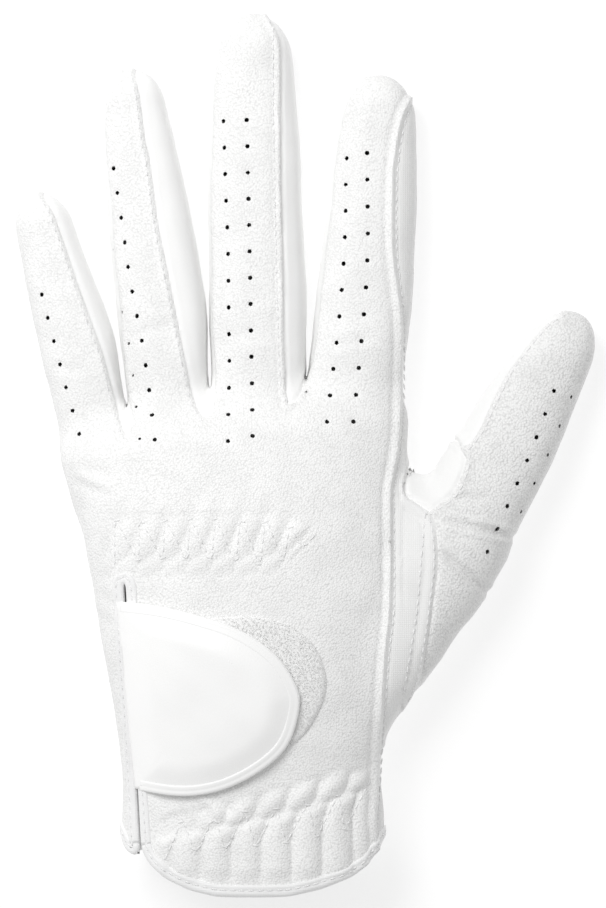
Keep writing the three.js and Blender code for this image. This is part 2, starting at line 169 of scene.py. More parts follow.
class Outline:
    """A closed line in the pattern's plane, as a distance that is negative inside."""

    def __init__(self, points: Points | Array, divisions: int = 4) -> None:
        """Rounds the points into a closed curve."""
        self.line = rounded_line(points, divisions, closed=True) if divisions > 1 else np.array(points, float)

    def distance(self, xy: Array) -> tuple[Array, Array]:
        """How far points are from the line.

        Args:
            xy: an (n, 2) array of points.

        Returns:
            The signed distance of each, and the unit direction in which it grows.
        """
        best = np.full(len(xy), 1e9)
        away = np.zeros((len(xy), 2))
        inside = np.zeros(len(xy), bool)
        for a, b in zip(self.line, np.roll(self.line, -1, axis=0)):
            run = b - a
            t = np.clip(((xy - a) @ run) / (run @ run + 1e-12), 0, 1)
            gap = xy - (a + t[:, None] * run)
            d = np.hypot(gap[:, 0], gap[:, 1])
            nearer = d < best
            best[nearer] = d[nearer]
            away[nearer] = gap[nearer]
            spans = (a[1] > xy[:, 1]) != (b[1] > xy[:, 1])
            crossing = a[0] + (xy[:, 1] - a[1]) * run[0] / (run[1] if run[1] else 1e-12)
            inside ^= spans & (xy[:, 0] < crossing)
        sign = np.where(inside, -1.0, 1.0)
        return best * sign, away * (sign / (best + 1e-9))[:, None]


# ---- the glove's shape ----


@dataclass
class Digit:
    """A finger or the thumb. Distances run from its root to its tip, and offsets to its right."""

    name: str
    root: tuple[float, float]
    tip: tuple[float, float]
    left: Points
    right: Points
    high: tuple[float, float]
    cap: float
    root_fold: float
    middle_fold: float
    divide: float
    deep_end: float = -26.0
    power: float = 2.6

    def __post_init__(self) -> None:
        """Works out the digit's directions and its two edges."""
        run = np.subtract(self.tip, self.root)
        self.length = float(np.hypot(*run))
        self.along = run / self.length
        self.across = np.array([self.along[1], -self.along[0]])
        self.left_edge = Profile(self.left)
        self.right_edge = Profile(self.right)

    def local(self, p: Array) -> tuple[Array, Array]:
        """How far along the digit, and how far to its right, points are."""
        q = p[:, :2] - np.array(self.root)
        return q @ self.along, q @ self.across

    def place(self, s: float, u: float, z: float = 0.0) -> Array:
        """The pattern point at a distance along the digit, an offset to its right and a height."""
        xy = np.array(self.root) + s * self.along + u * self.across
        return np.array([xy[0], xy[1], z])

    def height(self, s: Array) -> Array:
        """How high the digit is above the surface it lies on."""
        return np.interp(s, [0, self.length - self.cap], self.high)

    def value(self, p: Array) -> Array:
        """The digit's own field, negative inside it."""
        s, u = self.local(p)
        a, b = self.left_edge(s), self.right_edge(s)
        half, centre = (b - a) / 2, (a + b) / 2
        rise = (self.height(s) + Hand.SUNK) / 2
        ring = (np.abs((u - centre) / half) ** self.power + np.abs((p[:, 2] + Hand.SUNK - rise) / rise) ** self.power)
        past = np.maximum(s - (self.length - self.cap), 0) / self.cap
        before = np.maximum(self.deep_end - s, 0) / 12
        return (np.sqrt(ring ** (2 / self.power) + past**2 + before**2) - 1) * np.minimum(half, rise)


class Hand:
    """The hand with its digits, as one field per digit in pattern millimetres."""

    SUNK = 0.8  # how far the round undersides would reach below the surface that presses them flat
    POWER = 2.3
    END = 14.0  # the back of the hand rounds down to the finger roots over this distance
    SECTIONS = (
        # along the hand, left edge, right edge, top
        (-122, -47.8, 19.9, 31.5),
        (-104, -48.3, 19.9, 32.0),
        (-96, -48.0, 20.2, 31.5),
        (-86, -47.1, 19.2, 31.0),
        (-78, -48.0, 19.6, 31.8),
        (-64, -50.3, 22.2, 33.0),
        (-48, -53.2, 24.6, 33.5),
        (-32, -56.0, 25.8, 32.8),
        (-16, -58.7, 25.7, 31.0),
        (-2, -62.2, 25.0, 28.0),
        (8, -64.6, 24.6, 25.5),
        (20, -66.5, 24.4, 23.5),
    )
    HEEL = ((-52, 5.5, 21), (-38, 9.4, 25), (-26, 11.8, 26), (-12, 12.8, 25), (4, 12.6, 23.5))
    WEB_CENTRE = (26.0, -22.0, 11.0)
    WEB_SIZE = (9.5, 14.0, 9.0)

    def __init__(self) -> None:
        """Sets out the digits."""
        left, right, top = ([(row[0], row[k]) for row in self.SECTIONS] for k in (1, 2, 3))
        self.left, self.right, self.top = (Profile(rows, 5.0) for rows in (left, right, top))
        self.digits = [
            Digit(
                "little", (-57.0, 15.5), (-70.0, 67.4),
                left=((-26, -9.0), (0, -9.3), (11, -9.6), (22, -9.0), (33, -8.8), (44, -8.0), (52, -7.2)),
                right=((-26, 8.0), (-4, 8.3), (5, 9.5), (12, 10.2), (22, 8.9), (33, 7.6), (44, 6.6), (52, 5.9)),
                high=(17.5, 14), cap=8.5, root_fold=8, middle_fold=28, divide=18.5,
            ),
            Digit(
                "ring", (-37.6, 22.5), (-45.2, 99.8),
                left=((-26, -9.0), (-8, -9.5), (8, -10.4), (18, -10.1), (34, -10.5), (55, -10.0), (66, -9.3)),
                right=((-26, 11.0), (-13, 11.3), (0, 11.8), (15.7, 13.0), (26, 12.3), (42, 10.4), (63, 7.9), (70, 7.0)),
                high=(19.5, 15), cap=9.5, root_fold=8, middle_fold=38, divide=23.5,
            ),
            Digit(
                "middle", (-12.8, 25.1), (-14.6, 114.0),
                left=((-26, -12), (14, -12.3), (40, -12.2), (51, -11.8), (66, -10.9), (77, -9.7), (84, -9.0)),
                right=((-26, 12), (4, 12.7), (14, 12.9), (40, 12.2), (50, 12.1), (66, 11.4), (77, 10.5), (84, 9.4)),
                high=(20.5, 16), cap=10, root_fold=8, middle_fold=42, divide=25,
            ),
            Digit(
                "index", (13.0, 25.9), (18.7, 98.0),
                left=((-26, -12.5), (2, -11.9), (15, -11.3), (28, -11), (39, -10.3), (60, -9.6), (68, -8.6)),
                right=((-26, 12), (4, 13.1), (15, 13.3), (30, 12.9), (41, 12.3), (51, 11.7), (61, 10.7), (68, 9.4)),
                high=(20, 15.5), cap=10, root_fold=7, middle_fold=35, divide=21.5,
            ),
            Digit(
                "thumb", (37.4, -25.6), (71.6, 35.4),
                left=((-26, -11), (0, -12.5), (20, -13.2), (33, -12.5), (43, -12.0), (54, -10.3), (64, -8.6)),
                right=((-26, 12.2), (0, 12.9), (22, 12.4), (34, 11.8), (45, 10.6), (54, 9.4), (64, 8.0)),
                high=(23, 17), cap=10.5, root_fold=0, middle_fold=31, divide=22.5, deep_end=-6,
            ),
        ]
        self.by_name = {digit.name: digit for digit in self.digits}

    def palm(self, p: Array) -> Array:
        """The field of the hand without its digits."""
        a, b, top = self.left(p[:, 1]), self.right(p[:, 1]), self.top(p[:, 1])
        half, rise = (b - a) / 2, (top + self.SUNK) / 2
        ring = np.abs((p[:, 0] - (a + b) / 2) / half) ** self.POWER
        ring += np.abs((p[:, 2] + self.SUNK - rise) / rise) ** self.POWER
        past = np.maximum(p[:, 1] - (1.5 + 0.12 * (p[:, 0] + 20)), 0) / self.END
        return (np.sqrt(ring ** (2 / self.POWER) + past**2) - 1) * rise

    def heel(self, p: Array) -> Array:
        """The field of the thumb's swelling at the heel of the hand."""
        s, u = self.by_name["thumb"].local(p)
        at, half, high = (np.array(column, float) for column in zip(*self.HEEL))
        wide, rise = np.interp(s, at, half), (np.interp(s, at, high) + self.SUNK) / 2
        ring = np.abs(u / wide) ** 2.2 + np.abs((p[:, 2] + self.SUNK - rise) / rise) ** 2.2
        past = np.maximum(s - at[-1], 0) / 8 + np.maximum(at[0] - s, 0) / 14
        return (np.sqrt(ring ** (2 / 2.2) + past**2) - 1) * np.minimum(wide, rise)

    def web(self, p: Array) -> Array:
        """The field of the web between the thumb and the hand."""
        q = (p - np.array(self.WEB_CENTRE)) / np.array(self.WEB_SIZE)
        return (np.linalg.norm(q, axis=1) - 1) * min(self.WEB_SIZE)

    def value(self, p: Array, which: int) -> Array:
        """The field of the hand grown together with one digit.

        Args:
            p: points in pattern millimetres.
            which: the digit's place in the list.

        Returns:
            A value for each point, negative inside.
        """
        found = self.palm(p)
        digit = self.digits[which]
        if digit.name == "thumb":
            limb = soft_min(digit.value(p), self.heel(p), 5.0)
            found = soft_min(found, limb, 6.0)
        else:
            found = soft_min(found, digit.value(p), 5.0)
        if digit.name in ("thumb", "index"):
            found = soft_min(found, self.web(p), 5.0)
        return -soft_min(-found, p[:, 2], 1.6)

    def nearest(self, p: Array) -> tuple[Array, Array]:
        """The whole glove's field, and which digit each point belongs to."""
        every = np.stack([self.value(p, i) for i in range(len(self.digits))])
        return every.min(axis=0), every.argmin(axis=0)

    def own(self, p: Array, label: Array) -> Array:
        """The field at points whose digits are already known."""
        found = np.empty(len(p))
        for i in range(len(self.digits)):
            mine = label == i
            if mine.any():
                found[mine] = self.value(p[mine], i)
        return found

    def gradient(self, p: Array, label: Array, step: float = 0.05) -> Array:
        """The direction and rate in which the field grows."""
        out = np.empty_like(p)
        for k in range(3):
            move = np.zeros(3)
            move[k] = step
            out[:, k] = (self.own(p + move, label) - self.own(p - move, label)) / (2 * step)
        return out

    def top_height(self, xy: Array) -> Array:
        """How high the back of the hand is over points of the plane."""
        low, high = np.full(len(xy), 9.0), np.full(len(xy), 40.0)
        for _ in range(24):
            middle = (low + high) / 2
            under = self.palm(np.column_stack([xy, middle])) < 0
            low, high = np.where(under, middle, low), np.where(under, high, middle)
        return (low + high) / 2


# ---- the surface and its cutting ----


class Skin:
    """The outer surface as triangles, with the digit that each point belongs to."""

    STEP = 1.25
    LOW = (-80.0, -121.0, -2.4)
    HIGH = (82.0, 119.0, 37.0)
    BURIED = -0.1
    JOIN_RINGS = 3  # how far the smoothing between two digits reaches past the buried points
    JOIN_TURNS = 250
    INNER_LEVEL = -1.2  # meshed a little inside first, where neighbouring fingers stand further apart

    def __init__(self, hand: Hand) -> None:
        """Meshes the hand's field and moves the mesh out to its surface."""
        self.hand = hand
        points, quads = self._nets()
        points, quads = self._halved(points, quads)
        self.label = hand.nearest(points)[1]
        self.points = self._settled(points, quads)
        self.tris = np.vstack([quads[:, [0, 1, 2]], quads[:, [0, 2, 3]]])

    def _nets(self) -> tuple[Array, Array]:
        """One point in each grid cell that the surface crosses, joined into quads."""
        axes = [np.arange(a, b, self.STEP) for a, b in zip(self.LOW, self.HIGH)]
        shape = tuple(len(a) for a in axes)
        grid = np.stack(np.meshgrid(*axes, indexing="ij"), axis=-1).reshape(-1, 3)
        value = np.concatenate([self.hand.nearest(part)[0] for part in np.array_split(grid, 8)])
        value = value.reshape(shape) - self.INNER_LEVEL
        cells = tuple(n - 1 for n in shape)
        total, count = np.zeros(cells + (3,)), np.zeros(cells)
        for axis in range(3):
            others = [k for k in range(3) if k != axis]
            for i in (0, 1):
                for j in (0, 1):
                    first = [slice(0, -1)] * 3
                    first[others[0]] = slice(i, shape[others[0]] - 1 + i)
                    first[others[1]] = slice(j, shape[others[1]] - 1 + j)
                    second = list(first)
                    second[axis] = slice(1, None)
                    a, b = value[tuple(first)], value[tuple(second)]
                    cross = (a < 0) != (b < 0)
                    where = np.zeros(cells + (3,))
                    where[..., axis] = np.where(cross, a / np.where(cross, a - b, 1), 0)
                    where[..., others[0]] = i
                    where[..., others[1]] = j
                    total += where * cross[..., None]
                    count += cross
        used = count > 0
        index = np.full(cells, -1)
        index[used] = np.arange(used.sum())
        corner = np.argwhere(used)
        points = (corner + total[used] / count[used][:, None]) * self.STEP + np.array(self.LOW)
        quads = []
        for axis in range(3):
            one, two = (axis + 1) % 3, (axis + 2) % 3
            first, second = [slice(None)] * 3, [slice(None)] * 3
            first[axis], second[axis] = slice(0, -1), slice(1, None)
            a, b = value[tuple(first)] < 0, value[tuple(second)] < 0
            spots = np.argwhere(a != b)
            spots = spots[(spots[:, one] > 0) & (spots[:, two] > 0)]
            spots = spots[(spots[:, one] < cells[one]) & (spots[:, two] < cells[two])]
            ring = []
            for di, dj in ((1, 1), (0, 1), (0, 0), (1, 0)):
                at = spots.copy()
                at[:, one] -= di
                at[:, two] -= dj
                ring.append(index[tuple(at.T)])
            quad = np.stack(ring, axis=1)
            outward = a[tuple(spots.T)]
            quad[~outward] = quad[~outward][:, ::-1]
            quads.append(quad)
        return points, np.vstack(quads)

    @staticmethod
    def _halved(points: Array, quads: Array) -> tuple[Array, Array]:
        """Every quad cut into four."""
        edges = np.sort(np.stack([quads, np.roll(quads, -1, axis=1)], axis=2).reshape(-1, 2), axis=1)
        unique, where = np.unique(edges, axis=0, return_inverse=True)
        middle = where.reshape(-1, 4) + len(points)
        centre = np.arange(len(quads)) + len(points) + len(unique)
        new_points = np.vstack([points, points[unique].mean(axis=1), points[quads].mean(axis=1)])
        parts = [np.stack([quads[:, k], middle[:, k], centre, middle[:, k - 1]], axis=1) for k in range(4)]
        return new_points, np.vstack(parts)

    def _settled(self, points: Array, quads: Array) -> Array:
        """The points evened out and moved onto the surface."""
        edges = np.unique(
            np.sort(np.stack([quads, np.roll(quads, -1, axis=1)], axis=2).reshape(-1, 2), axis=1), axis=0
        )
        degree = np.bincount(edges.ravel(), minlength=len(points))[:, None]
        rim = points[:, 1] < self.LOW[1] + 2 * self.STEP
        for turn in range(4):
            slope = self.hand.gradient(points, self.label)
            size = (slope**2).sum(axis=1, keepdims=True) + 1e-9
            step = slope * (self.hand.own(points, self.label)[:, None] / size)
            length = np.linalg.norm(step, axis=1, keepdims=True)
            points = points - step * np.minimum(1, 1.5 / (length + 1e-9))
            if turn < 3:
                total = np.zeros_like(points)
                np.add.at(total, edges[:, 0], points[edges[:, 1]])
                np.add.at(total, edges[:, 1], points[edges[:, 0]])
                even = total / degree - points
                unit = slope / np.sqrt(size)
                even -= unit * (even * unit).sum(axis=1, keepdims=True)
                even[rim] = 0
                points = points + 0.5 * even
        return self._joined(points, edges, degree)

    def _joined(self, points: Array, edges: Array, degree: Array) -> Array:
        """The points drawn smoothly across where one digit's surface would go into another's.

        Args:
            points: the settled points.
            edges: the pairs of points that are joined.
            degree: how many edges each point has, as a column.

        Returns:
            The points, with the crotches between the fingers closed.
        """
        a, b = edges.T
        near = self.hand.nearest(points)[0] < self.BURIED
        for _ in range(self.JOIN_RINGS):
            near[edges[near[a] | near[b]]] = True
        a, b = edges[near[a] | near[b]].T
        for _ in range(self.JOIN_TURNS):
            total = np.zeros_like(points)
            np.add.at(total, a, points[b])
            np.add.at(total, b, points[a])
            points = np.where(near[:, None], 0.4 * points + 0.6 * total / degree, points)
        return points

    def cut(self, value: Array) -> None:
        """Splits the triangles that a line crosses, so that edges follow the line where value is zero.

        Args:
            value: a number for each point that changes sign across the line.
        """
        value = np.where(np.abs(value) < 0.03, 0.0, value)
        sign = np.sign(value)
        tris = self.tris
        signs = sign[tris]
        crossed = (signs.min(axis=1) < 0) & (signs.max(axis=1) > 0)
        keep, work = tris[~crossed], tris[crossed]
        edges = np.sort(np.vstack([work[:, [0, 1]], work[:, [1, 2]], work[:, [2, 0]]]), axis=1)
        edges = np.unique(edges[sign[edges[:, 0]] * sign[edges[:, 1]] < 0], axis=0)
        if not len(edges):
            return
        a, b = edges.T
        t = (value[a] / (value[a] - value[b]))[:, None]
        base = len(self.points)
        self.points = np.vstack([self.points, self.points[a] * (1 - t) + self.points[b] * t])
        self.label = np.r_[self.label, np.where(t[:, 0] < 0.5, self.label[a], self.label[b])]
        key = edges[:, 0] * base + edges[:, 1]

        def between(p: Array, q: Array) -> Array:
            """The new point on each edge from p to q."""
            low, high = np.minimum(p, q), np.maximum(p, q)
            return base + np.searchsorted(key, low * base + high)

        parts = [keep]
        for k in range(3):
            p, q, r = work[:, k], work[:, (k + 1) % 3], work[:, (k + 2) % 3]
            alone = (sign[p] * sign[q] < 0) & (sign[p] * sign[r] < 0)
            p1, q1, r1 = p[alone], q[alone], r[alone]
            pq, pr = between(p1, q1), between(p1, r1)
            parts += [np.stack(t3, axis=1) for t3 in ((p1, pq, pr), (pq, q1, r1), (pq, r1, pr))]
            through = (sign[p] == 0) & (sign[q] * sign[r] < 0)
            p2, q2, r2 = p[through], q[through], r[through]
            qr = between(q2, r2)
            parts += [np.stack(t3, axis=1) for t3 in ((p2, q2, qr), (p2, qr, r2))]
        self.tris = np.vstack(parts)

    def normals(self, points: Array) -> Array:
        """The outward direction at each point, from the triangles around it."""
        a, b, c = (points[self.tris[:, k]] for k in range(3))
        face = np.cross(b - a, c - a)
        total = np.zeros_like(points)
        for k in range(3):
            np.add.at(total, self.tris[:, k], face)
        return total / (np.linalg.norm(total, axis=1, keepdims=True) + 1e-12)


# ---- the panels ----


class Lines:
    """The sewing lines of the pattern, in its plane."""

    LITTLE_RING = (
        (-68.5, 66.8), (-65.9, 62.5), (-63.7, 56.5), (-61.1, 49.0), (-58.4, 41.0), (-55.5, 33.0), (-52.9, 26.0),
        (-51.0, 19.0), (-49.4, 12.5), (-48.0, 7.5), (-46.4, 4.4), (-44.9, 8.2), (-46.2, 13.4), (-47.7, 23.8),
        (-48.1, 29.0), (-48.6, 39.4), (-50.1, 49.8), (-51.2, 65.4), (-52.2, 75.8), (-52.7, 86.2), (-51.8, 94.0),
        (-49.5, 98.0), (-56.0, 98.0), (-66.0, 72.0),
    )  # fmt: skip
    RING_MIDDLE = (
        (-44.6, 98.5), (-43.3, 92.7), (-41.8, 81.0), (-40.7, 75.8), (-38.4, 58.9), (-36.3, 48.5), (-34.2, 38.1),
        (-32.9, 31.6), (-31.1, 22.5), (-29.0, 13.4), (-26.4, 9.0), (-23.9, 13.4), (-24.9, 39.4), (-25.2, 65.4),
        (-24.9, 75.8), (-24.4, 91.4), (-23.4, 101.8), (-22.4, 107.0), (-19.5, 112.6), (-24.0, 118.0),
        (-36.0, 106.0), (-43.0, 101.0),
    )  # fmt: skip
    MIDDLE_INDEX = (
        (-10.5, 114.5), (-8.0, 109.0), (-6.8, 104.0), (-6.6, 81.0), (-6.1, 49.8), (-5.3, 16.0), (-3.8, 12.6),
        (-1.5, 14.7), (-0.2, 18.6), (1.4, 23.8), (1.9, 29.0), (3.4, 39.4), (5.0, 55.0), (6.6, 65.4), (7.3, 75.8),
        (8.9, 86.2), (10.5, 91.4), (12.5, 94.5), (14.6, 97.2), (12.0, 102.0), (0.0, 110.0), (-8.0, 116.0),
    )  # fmt: skip
    RIDGE = (
        (26.9, 92.0), (24.3, 86.2), (22.5, 75.8), (22.0, 68.0), (22.0, 52.4), (23.5, 39.4), (24.1, 31.6),
        (24.1, 18.6), (23.3, 3.0), (21.7, -7.4), (21.2, -12.6), (21.2, -38.6), (19.9, -51.6), (18.6, -69.8),
        (17.6, -88.0), (17.0, -95.8), (17.8, -106.2), (17.8, -125.0),
    )  # fmt: skip
    BAND = (
        (40.0, -125.0), (40.0, -79.0), (22.0, -78.0), (24.0, -71.0), (29.0, -61.0), (31.1, -50.6), (32.6, -40.2),
        (33.9, -28.2), (33.2, -19.0), (31.6, -15.2), (28.5, -13.0), (25.6, -10.5), (26.0, -6.0), (28.6, 0.0),
        (31.0, 40.0), (32.0, 95.0),
    )  # fmt: skip
    BAND_INNER = ((30.6, -16.5), (29.5, -28.2), (28.5, -40.2), (26.9, -50.6), (25.2, -61.0))
    WEB = (
        (25.6, -10.5), (28.5, -13.0), (31.6, -15.2), (34.7, -13.1), (37.3, -11.3), (39.4, -7.9), (41.2, -2.2),
        (40.7, -0.9), (39.0, 2.5), (36.0, 6.0), (30.0, 2.0), (26.5, -5.0),
    )  # fmt: skip
    THUMB_STRIP = (
        (41.5, 1.7), (44.6, 5.6), (47.7, 12.1), (51.6, 19.9), (54.2, 23.8), (58.1, 29.0), (62.5, 33.8),
        (66.0, 36.0), (58.0, 42.0), (48.0, 30.0), (38.0, 14.0), (36.0, 6.0), (39.0, 2.5),
    )  # fmt: skip
    MIDDLE_TOPSTITCH = ((-8.7, 109.6), (-8.7, 91.4), (-8.2, 65.4), (-7.7, 44.6), (-6.8, 18.6), (-5.2, 13.4))
    TAB = (
        (-48.9, -38.8), (-38.1, -39.9), (-27.7, -42.3), (-17.3, -45.9), (-8.2, -52.1), (-3.0, -59.9),
        (-2.2, -65.9), (-5.1, -75.0), (-11.6, -81.3), (-21.2, -86.2), (-31.6, -88.0), (-44.2, -86.8),
    )  # fmt: skip
    LOOP_PAD = (
        (-39.4, -43.0), (-30.0, -43.6), (-21.0, -42.8), (-12.5, -42.6), (-4.0, -44.8), (1.4, -49.0), (4.0, -53.7),
        (5.1, -58.9), (4.3, -63.8), (2.0, -68.5), (-1.7, -73.7), (-9.5, -79.4), (-19.9, -83.3), (-36.2, -84.9),
    )  # fmt: skip
    SLIT = ((-46.9, -33.6), (-41.6, -125.0))
    SLIT_WIDTH = 1.5
    MAIN_CORNERS = (
        (-43.5, -98.0), (-42.3, -101.5), (-40.7, -105.2), (-36.8, -108.9), (-30.3, -112.0), (-22.5, -113.8),
        (-5.6, -113.9), (3.5, -111.9), (11.3, -109.2), (15.2, -106.5), (18.6, -102.2), (20.2, -99.0),
    )  # fmt: skip
    ULNAR_CORNER = ((-48.6, -95.0), (-47.9, -99.0), (-46.6, -102.3), (-44.8, -103.6), (-42.0, -103.6))
    HEM = ((-2, -103.4), (7, -103.6), (14, -104.6), (20.5, -107), (25, -110), (28.5, -112.4), (32, -113.9))
    CREASES = (
        # start, end, depth, width
        ((35.5, -17.6), (54.5, -22.5), 1.25, 0.95),
        ((34.0, -25.5), (47.5, -37.0), 1.25, 1.0),
        ((34.5, -12.5), (47.0, -12.0), 0.35, 1.2),
        ((-59.5, -5.5), (-50.0, -9.5), -0.5, 1.4),
        ((-54.5, -36.0), (-48.0, -41.0), 0.3, 1.6),
        ((-28.0, -87.6), (-18.6, -95.8), -0.5, 1.3),
        ((10.0, -12.0), (20.0, -30.0), 0.25, 2.2),
        ((-20.0, 31.0), (-9.0, 29.0), 0.22, 1.5),
        ((-46.0, 30.0), (-34.0, 33.0), 0.22, 1.5),
        ((5.0, 27.0), (19.0, 30.0), 0.22, 1.5),
        ((-66.0, 22.0), (-58.0, 21.0), 0.22, 1.4),
    )


@dataclass(frozen=True)
class HoleRow:
    """A row of perforations: a few points that it passes through, and how many holes it has."""

    points: Points
    count: int
    size: float = 0.62


HOLE_ROWS = (
    HoleRow(((-68.8, 40.7), (-63.4, 20.0), (-58.9, 4.6)), 7),
    HoleRow(((-50.1, 73.5), (-46.0, 46.0), (-42.0, 24.6), (-39.1, 3.0)), 12),
    HoleRow(((-50.8, 52.4), (-46.2, 28.0), (-43.0, 3.3)), 7, 0.42),
    HoleRow(((-21.7, 85.7), (-20.3, 45.0), (-20.2, 2.7)), 13),
    HoleRow(((-15.5, 85.9), (-14.6, 45.0), (-13.9, 4.0)), 13),
    HoleRow(((10.3, 76.1), (9.4, 46.0), (5.3, 7.7)), 11),
    HoleRow(((15.7, 77.4), (15.6, 46.0), (12.1, 7.7)), 11),
    HoleRow(((64.1, 15.7), (56.8, -3.0), (46.7, -25.9)), 8),
    HoleRow(((69.0, 14.0), (63.4, 1.0), (55.8, -15.7)), 5, 0.5),
)


class Zone(Enum):
    """Which bodies a piece of fabric lies on."""

    HAND = "hand"
    THUMB_SIDE = "thumb_side"
    LOWER = "lower"
    TIP = "tip"


class GloveSkin(Skin):
    """The skin cut into panels and raised into seams, gathers and creases."""

    PALM_SEAM = 7.0
    STEEPEST = 0.32  # lines aren't laid on parts of the skin that face the side more than this
    SEAM_SHARE = 0.36  # the palm's seam on a finger lies at this share of its height
    FOURCHETTE_EDGE = 0.78
    SIDES = {"little": ("right",), "ring": ("left", "right"), "middle": ("left", "right"), "index": ("left",)}

    def __init__(self, hand: Hand) -> None:
        """Cuts every sewing line and works out the finished surface."""
        super().__init__(hand)
        self.outlines = {
            name: Outline(points, 3)
            for name, points in (
                ("little_ring", Lines.LITTLE_RING), ("ring_middle", Lines.RING_MIDDLE),
                ("middle_index", Lines.MIDDLE_INDEX), ("web", Lines.WEB), ("strip", Lines.THUMB_STRIP),
            )
        }  # fmt: skip
        ridge, band = rounded_line(Lines.RIDGE, 3), rounded_line(Lines.BAND, 3)
        self.outlines["gusset"] = Outline(np.vstack([ridge, band]), 1)
        self.holes = self._hole_centres()
        self._cut_all()
        self.relief = self._relief()
        self.finished = self.points + self.normals(self.points) * self.relief[:, None]
        self.finished[:, 2] = np.maximum(self.finished[:, 2], 0.02)
        self.normal = self.normals(self.finished)
        self.tree = BVHTree.FromPolygons(self.finished.tolist(), self.tris.tolist())
        self.names = self._names()

    # -- where things are --

    def near(self, name: str) -> Array:
        """The signed distance of each point of the skin from an outline, 9 where it is far off."""
        outline = self.outlines[name]
        low, high = outline.line.min(axis=0) - 9, outline.line.max(axis=0) + 9
        xy = self.points[:, :2]
        close = ((xy > low) & (xy < high)).all(axis=1)
        found = np.full(len(xy), 9.0)
        found[close] = outline.distance(xy[close])[0]
        return found

    def seam_rise(self) -> Array:
        """How far each point is above the palm's seam."""
        level = np.full(len(self.points), self.PALM_SEAM)
        for i, digit in enumerate(self.hand.digits):
            s, _ = digit.local(self.points)
            share = self.SEAM_SHARE * digit.height(s)
            mix = ramp(s, -4.0, 10.0)
            level = np.where(self.label == i, level * (1 - mix) + share * mix, level)
        return self.points[:, 2] - level

    def hem(self) -> Array:
        """How far each point is inside the hem."""
        x, y, z = self.points.T
        level = np.interp(z, *np.array(Lines.HEM).T)
        a, b = Lines.SLIT
        middle = a[0] + (y - a[1]) * (b[0] - a[0]) / (b[1] - a[1])
        main = np.interp(x, *np.array(Lines.MAIN_CORNERS).T)
        side = np.interp(x, *np.array(Lines.ULNAR_CORNER).T)
        corner = np.where(x > middle, main, side)
        return y - np.where((z > 12) | (x > 0) | (x < middle), np.maximum(level, corner), level)

    def slit(self) -> Array:
        """The distance of each point from the slit's opening, negative inside."""
        a, b = (np.array(p) for p in Lines.SLIT)
        t = np.clip((self.points[:, :2] - a) @ (b - a) / ((b - a) @ (b - a)), 0, 1)
        gap = np.hypot(*(self.points[:, :2] - a - t[:, None] * (b - a)).T) - Lines.SLIT_WIDTH / 2
        return np.maximum(gap, 15 - self.points[:, 2])

    def side_edge(self, digit: Digit, side: str) -> Array:
        """The distance from the edge of a digit's side strip on the palm's side, negative in the strip."""
        s, u = digit.local(self.points)
        a, b = digit.left_edge(s), digit.right_edge(s)
        out = (u - (a + b) / 2) * (1 if side == "right" else -1)
        return self.FOURCHETTE_EDGE * (b - a) / 2 - out

    def _hole_centres(self) -> Array:
        """The middle of every perforation on the skin, with its radius."""
        tree = BVHTree.FromPolygons(self.points.tolist(), self.tris.tolist())
        rows = []
        for row in HOLE_ROWS:
            line = rounded_line(row.points, 8)
            run = np.linalg.norm(np.diff(line, axis=0), axis=1).sum()
            for x, y in resampled(line, run / (row.count - 1)):
                hit = tree.ray_cast(Vector((x, y, 60.0)), Vector((0, 0, -1)))[0]
                if hit is not None:
                    rows.append((*hit, row.size))
        return np.array(rows)

    def hole_gap(self) -> Array:
        """The distance of each point from the nearest perforation's edge."""
        found = np.full(len(self.points), 9.0)
        for x, y, z, size in self.holes:
            close = np.abs(self.points - (x, y, z)).max(axis=1) < 3
            found[close] = np.minimum(found[close], np.linalg.norm(self.points[close] - (x, y, z), axis=1) - size)
        return found

    # -- cutting --

    def _only(self, kept: Array) -> None:
        """Keeps some of the triangles."""
        self.tris = self.tris[kept]

    def _cut_all(self) -> None:
        """Cuts along every line, and takes away the slit, the holes and what lies past the hem."""
        for *centre, _ in self.holes:
            self.points[np.argmin(((self.points - centre) ** 2).sum(axis=1))] = centre
        for gap in (self.hem, self.slit, self.hole_gap):
            self.cut(gap())
            self._only(gap()[self.tris].mean(axis=1) > 0)
        self.cut(self.seam_rise())
        for name in self.outlines:
            self.cut(np.maximum(self.near(name), -self.seam_rise()))
        for i, digit in enumerate(self.hand.digits):
            for side in self.SIDES.get(digit.name, ()):
                s, _ = digit.local(self.points)
                edge = np.maximum(np.maximum(self.side_edge(digit, side), self.seam_rise()), -(s + 1))
                self.cut(np.where(self.label == i, edge, 5.0))
            for at in (digit.root_fold - 8, digit.divide):
                s, _ = digit.local(self.points)
                self.cut(np.where(self.label == i, s - at, -5.0))
        index = self.hand.by_name["index"]
        edge = np.maximum(np.maximum(self.side_edge(index, "right"), self.seam_rise()), -6 - self.points[:, 1])
        self.cut(np.where((self.label == 3) | (self.points[:, 1] < 26), edge, 5.0))
        thumb = self.hand.by_name["thumb"]
        s, _ = thumb.local(self.points)
        edge = np.maximum(np.maximum(self.side_edge(thumb, "left"), self.seam_rise()), 16 - s)
        self.cut(np.where(self.label == 4, edge, 5.0))
        used, self.tris = np.unique(self.tris, return_inverse=True)
        self.tris = self.tris.reshape(-1, 3)
        self.points, self.label = self.points[used], self.label[used]

    def _names(self) -> Array:
        """The CAD node that each triangle belongs to."""

        def mean(value: Array) -> Array:
            """A point value taken over each triangle."""
            return value[self.tris].mean(axis=1)

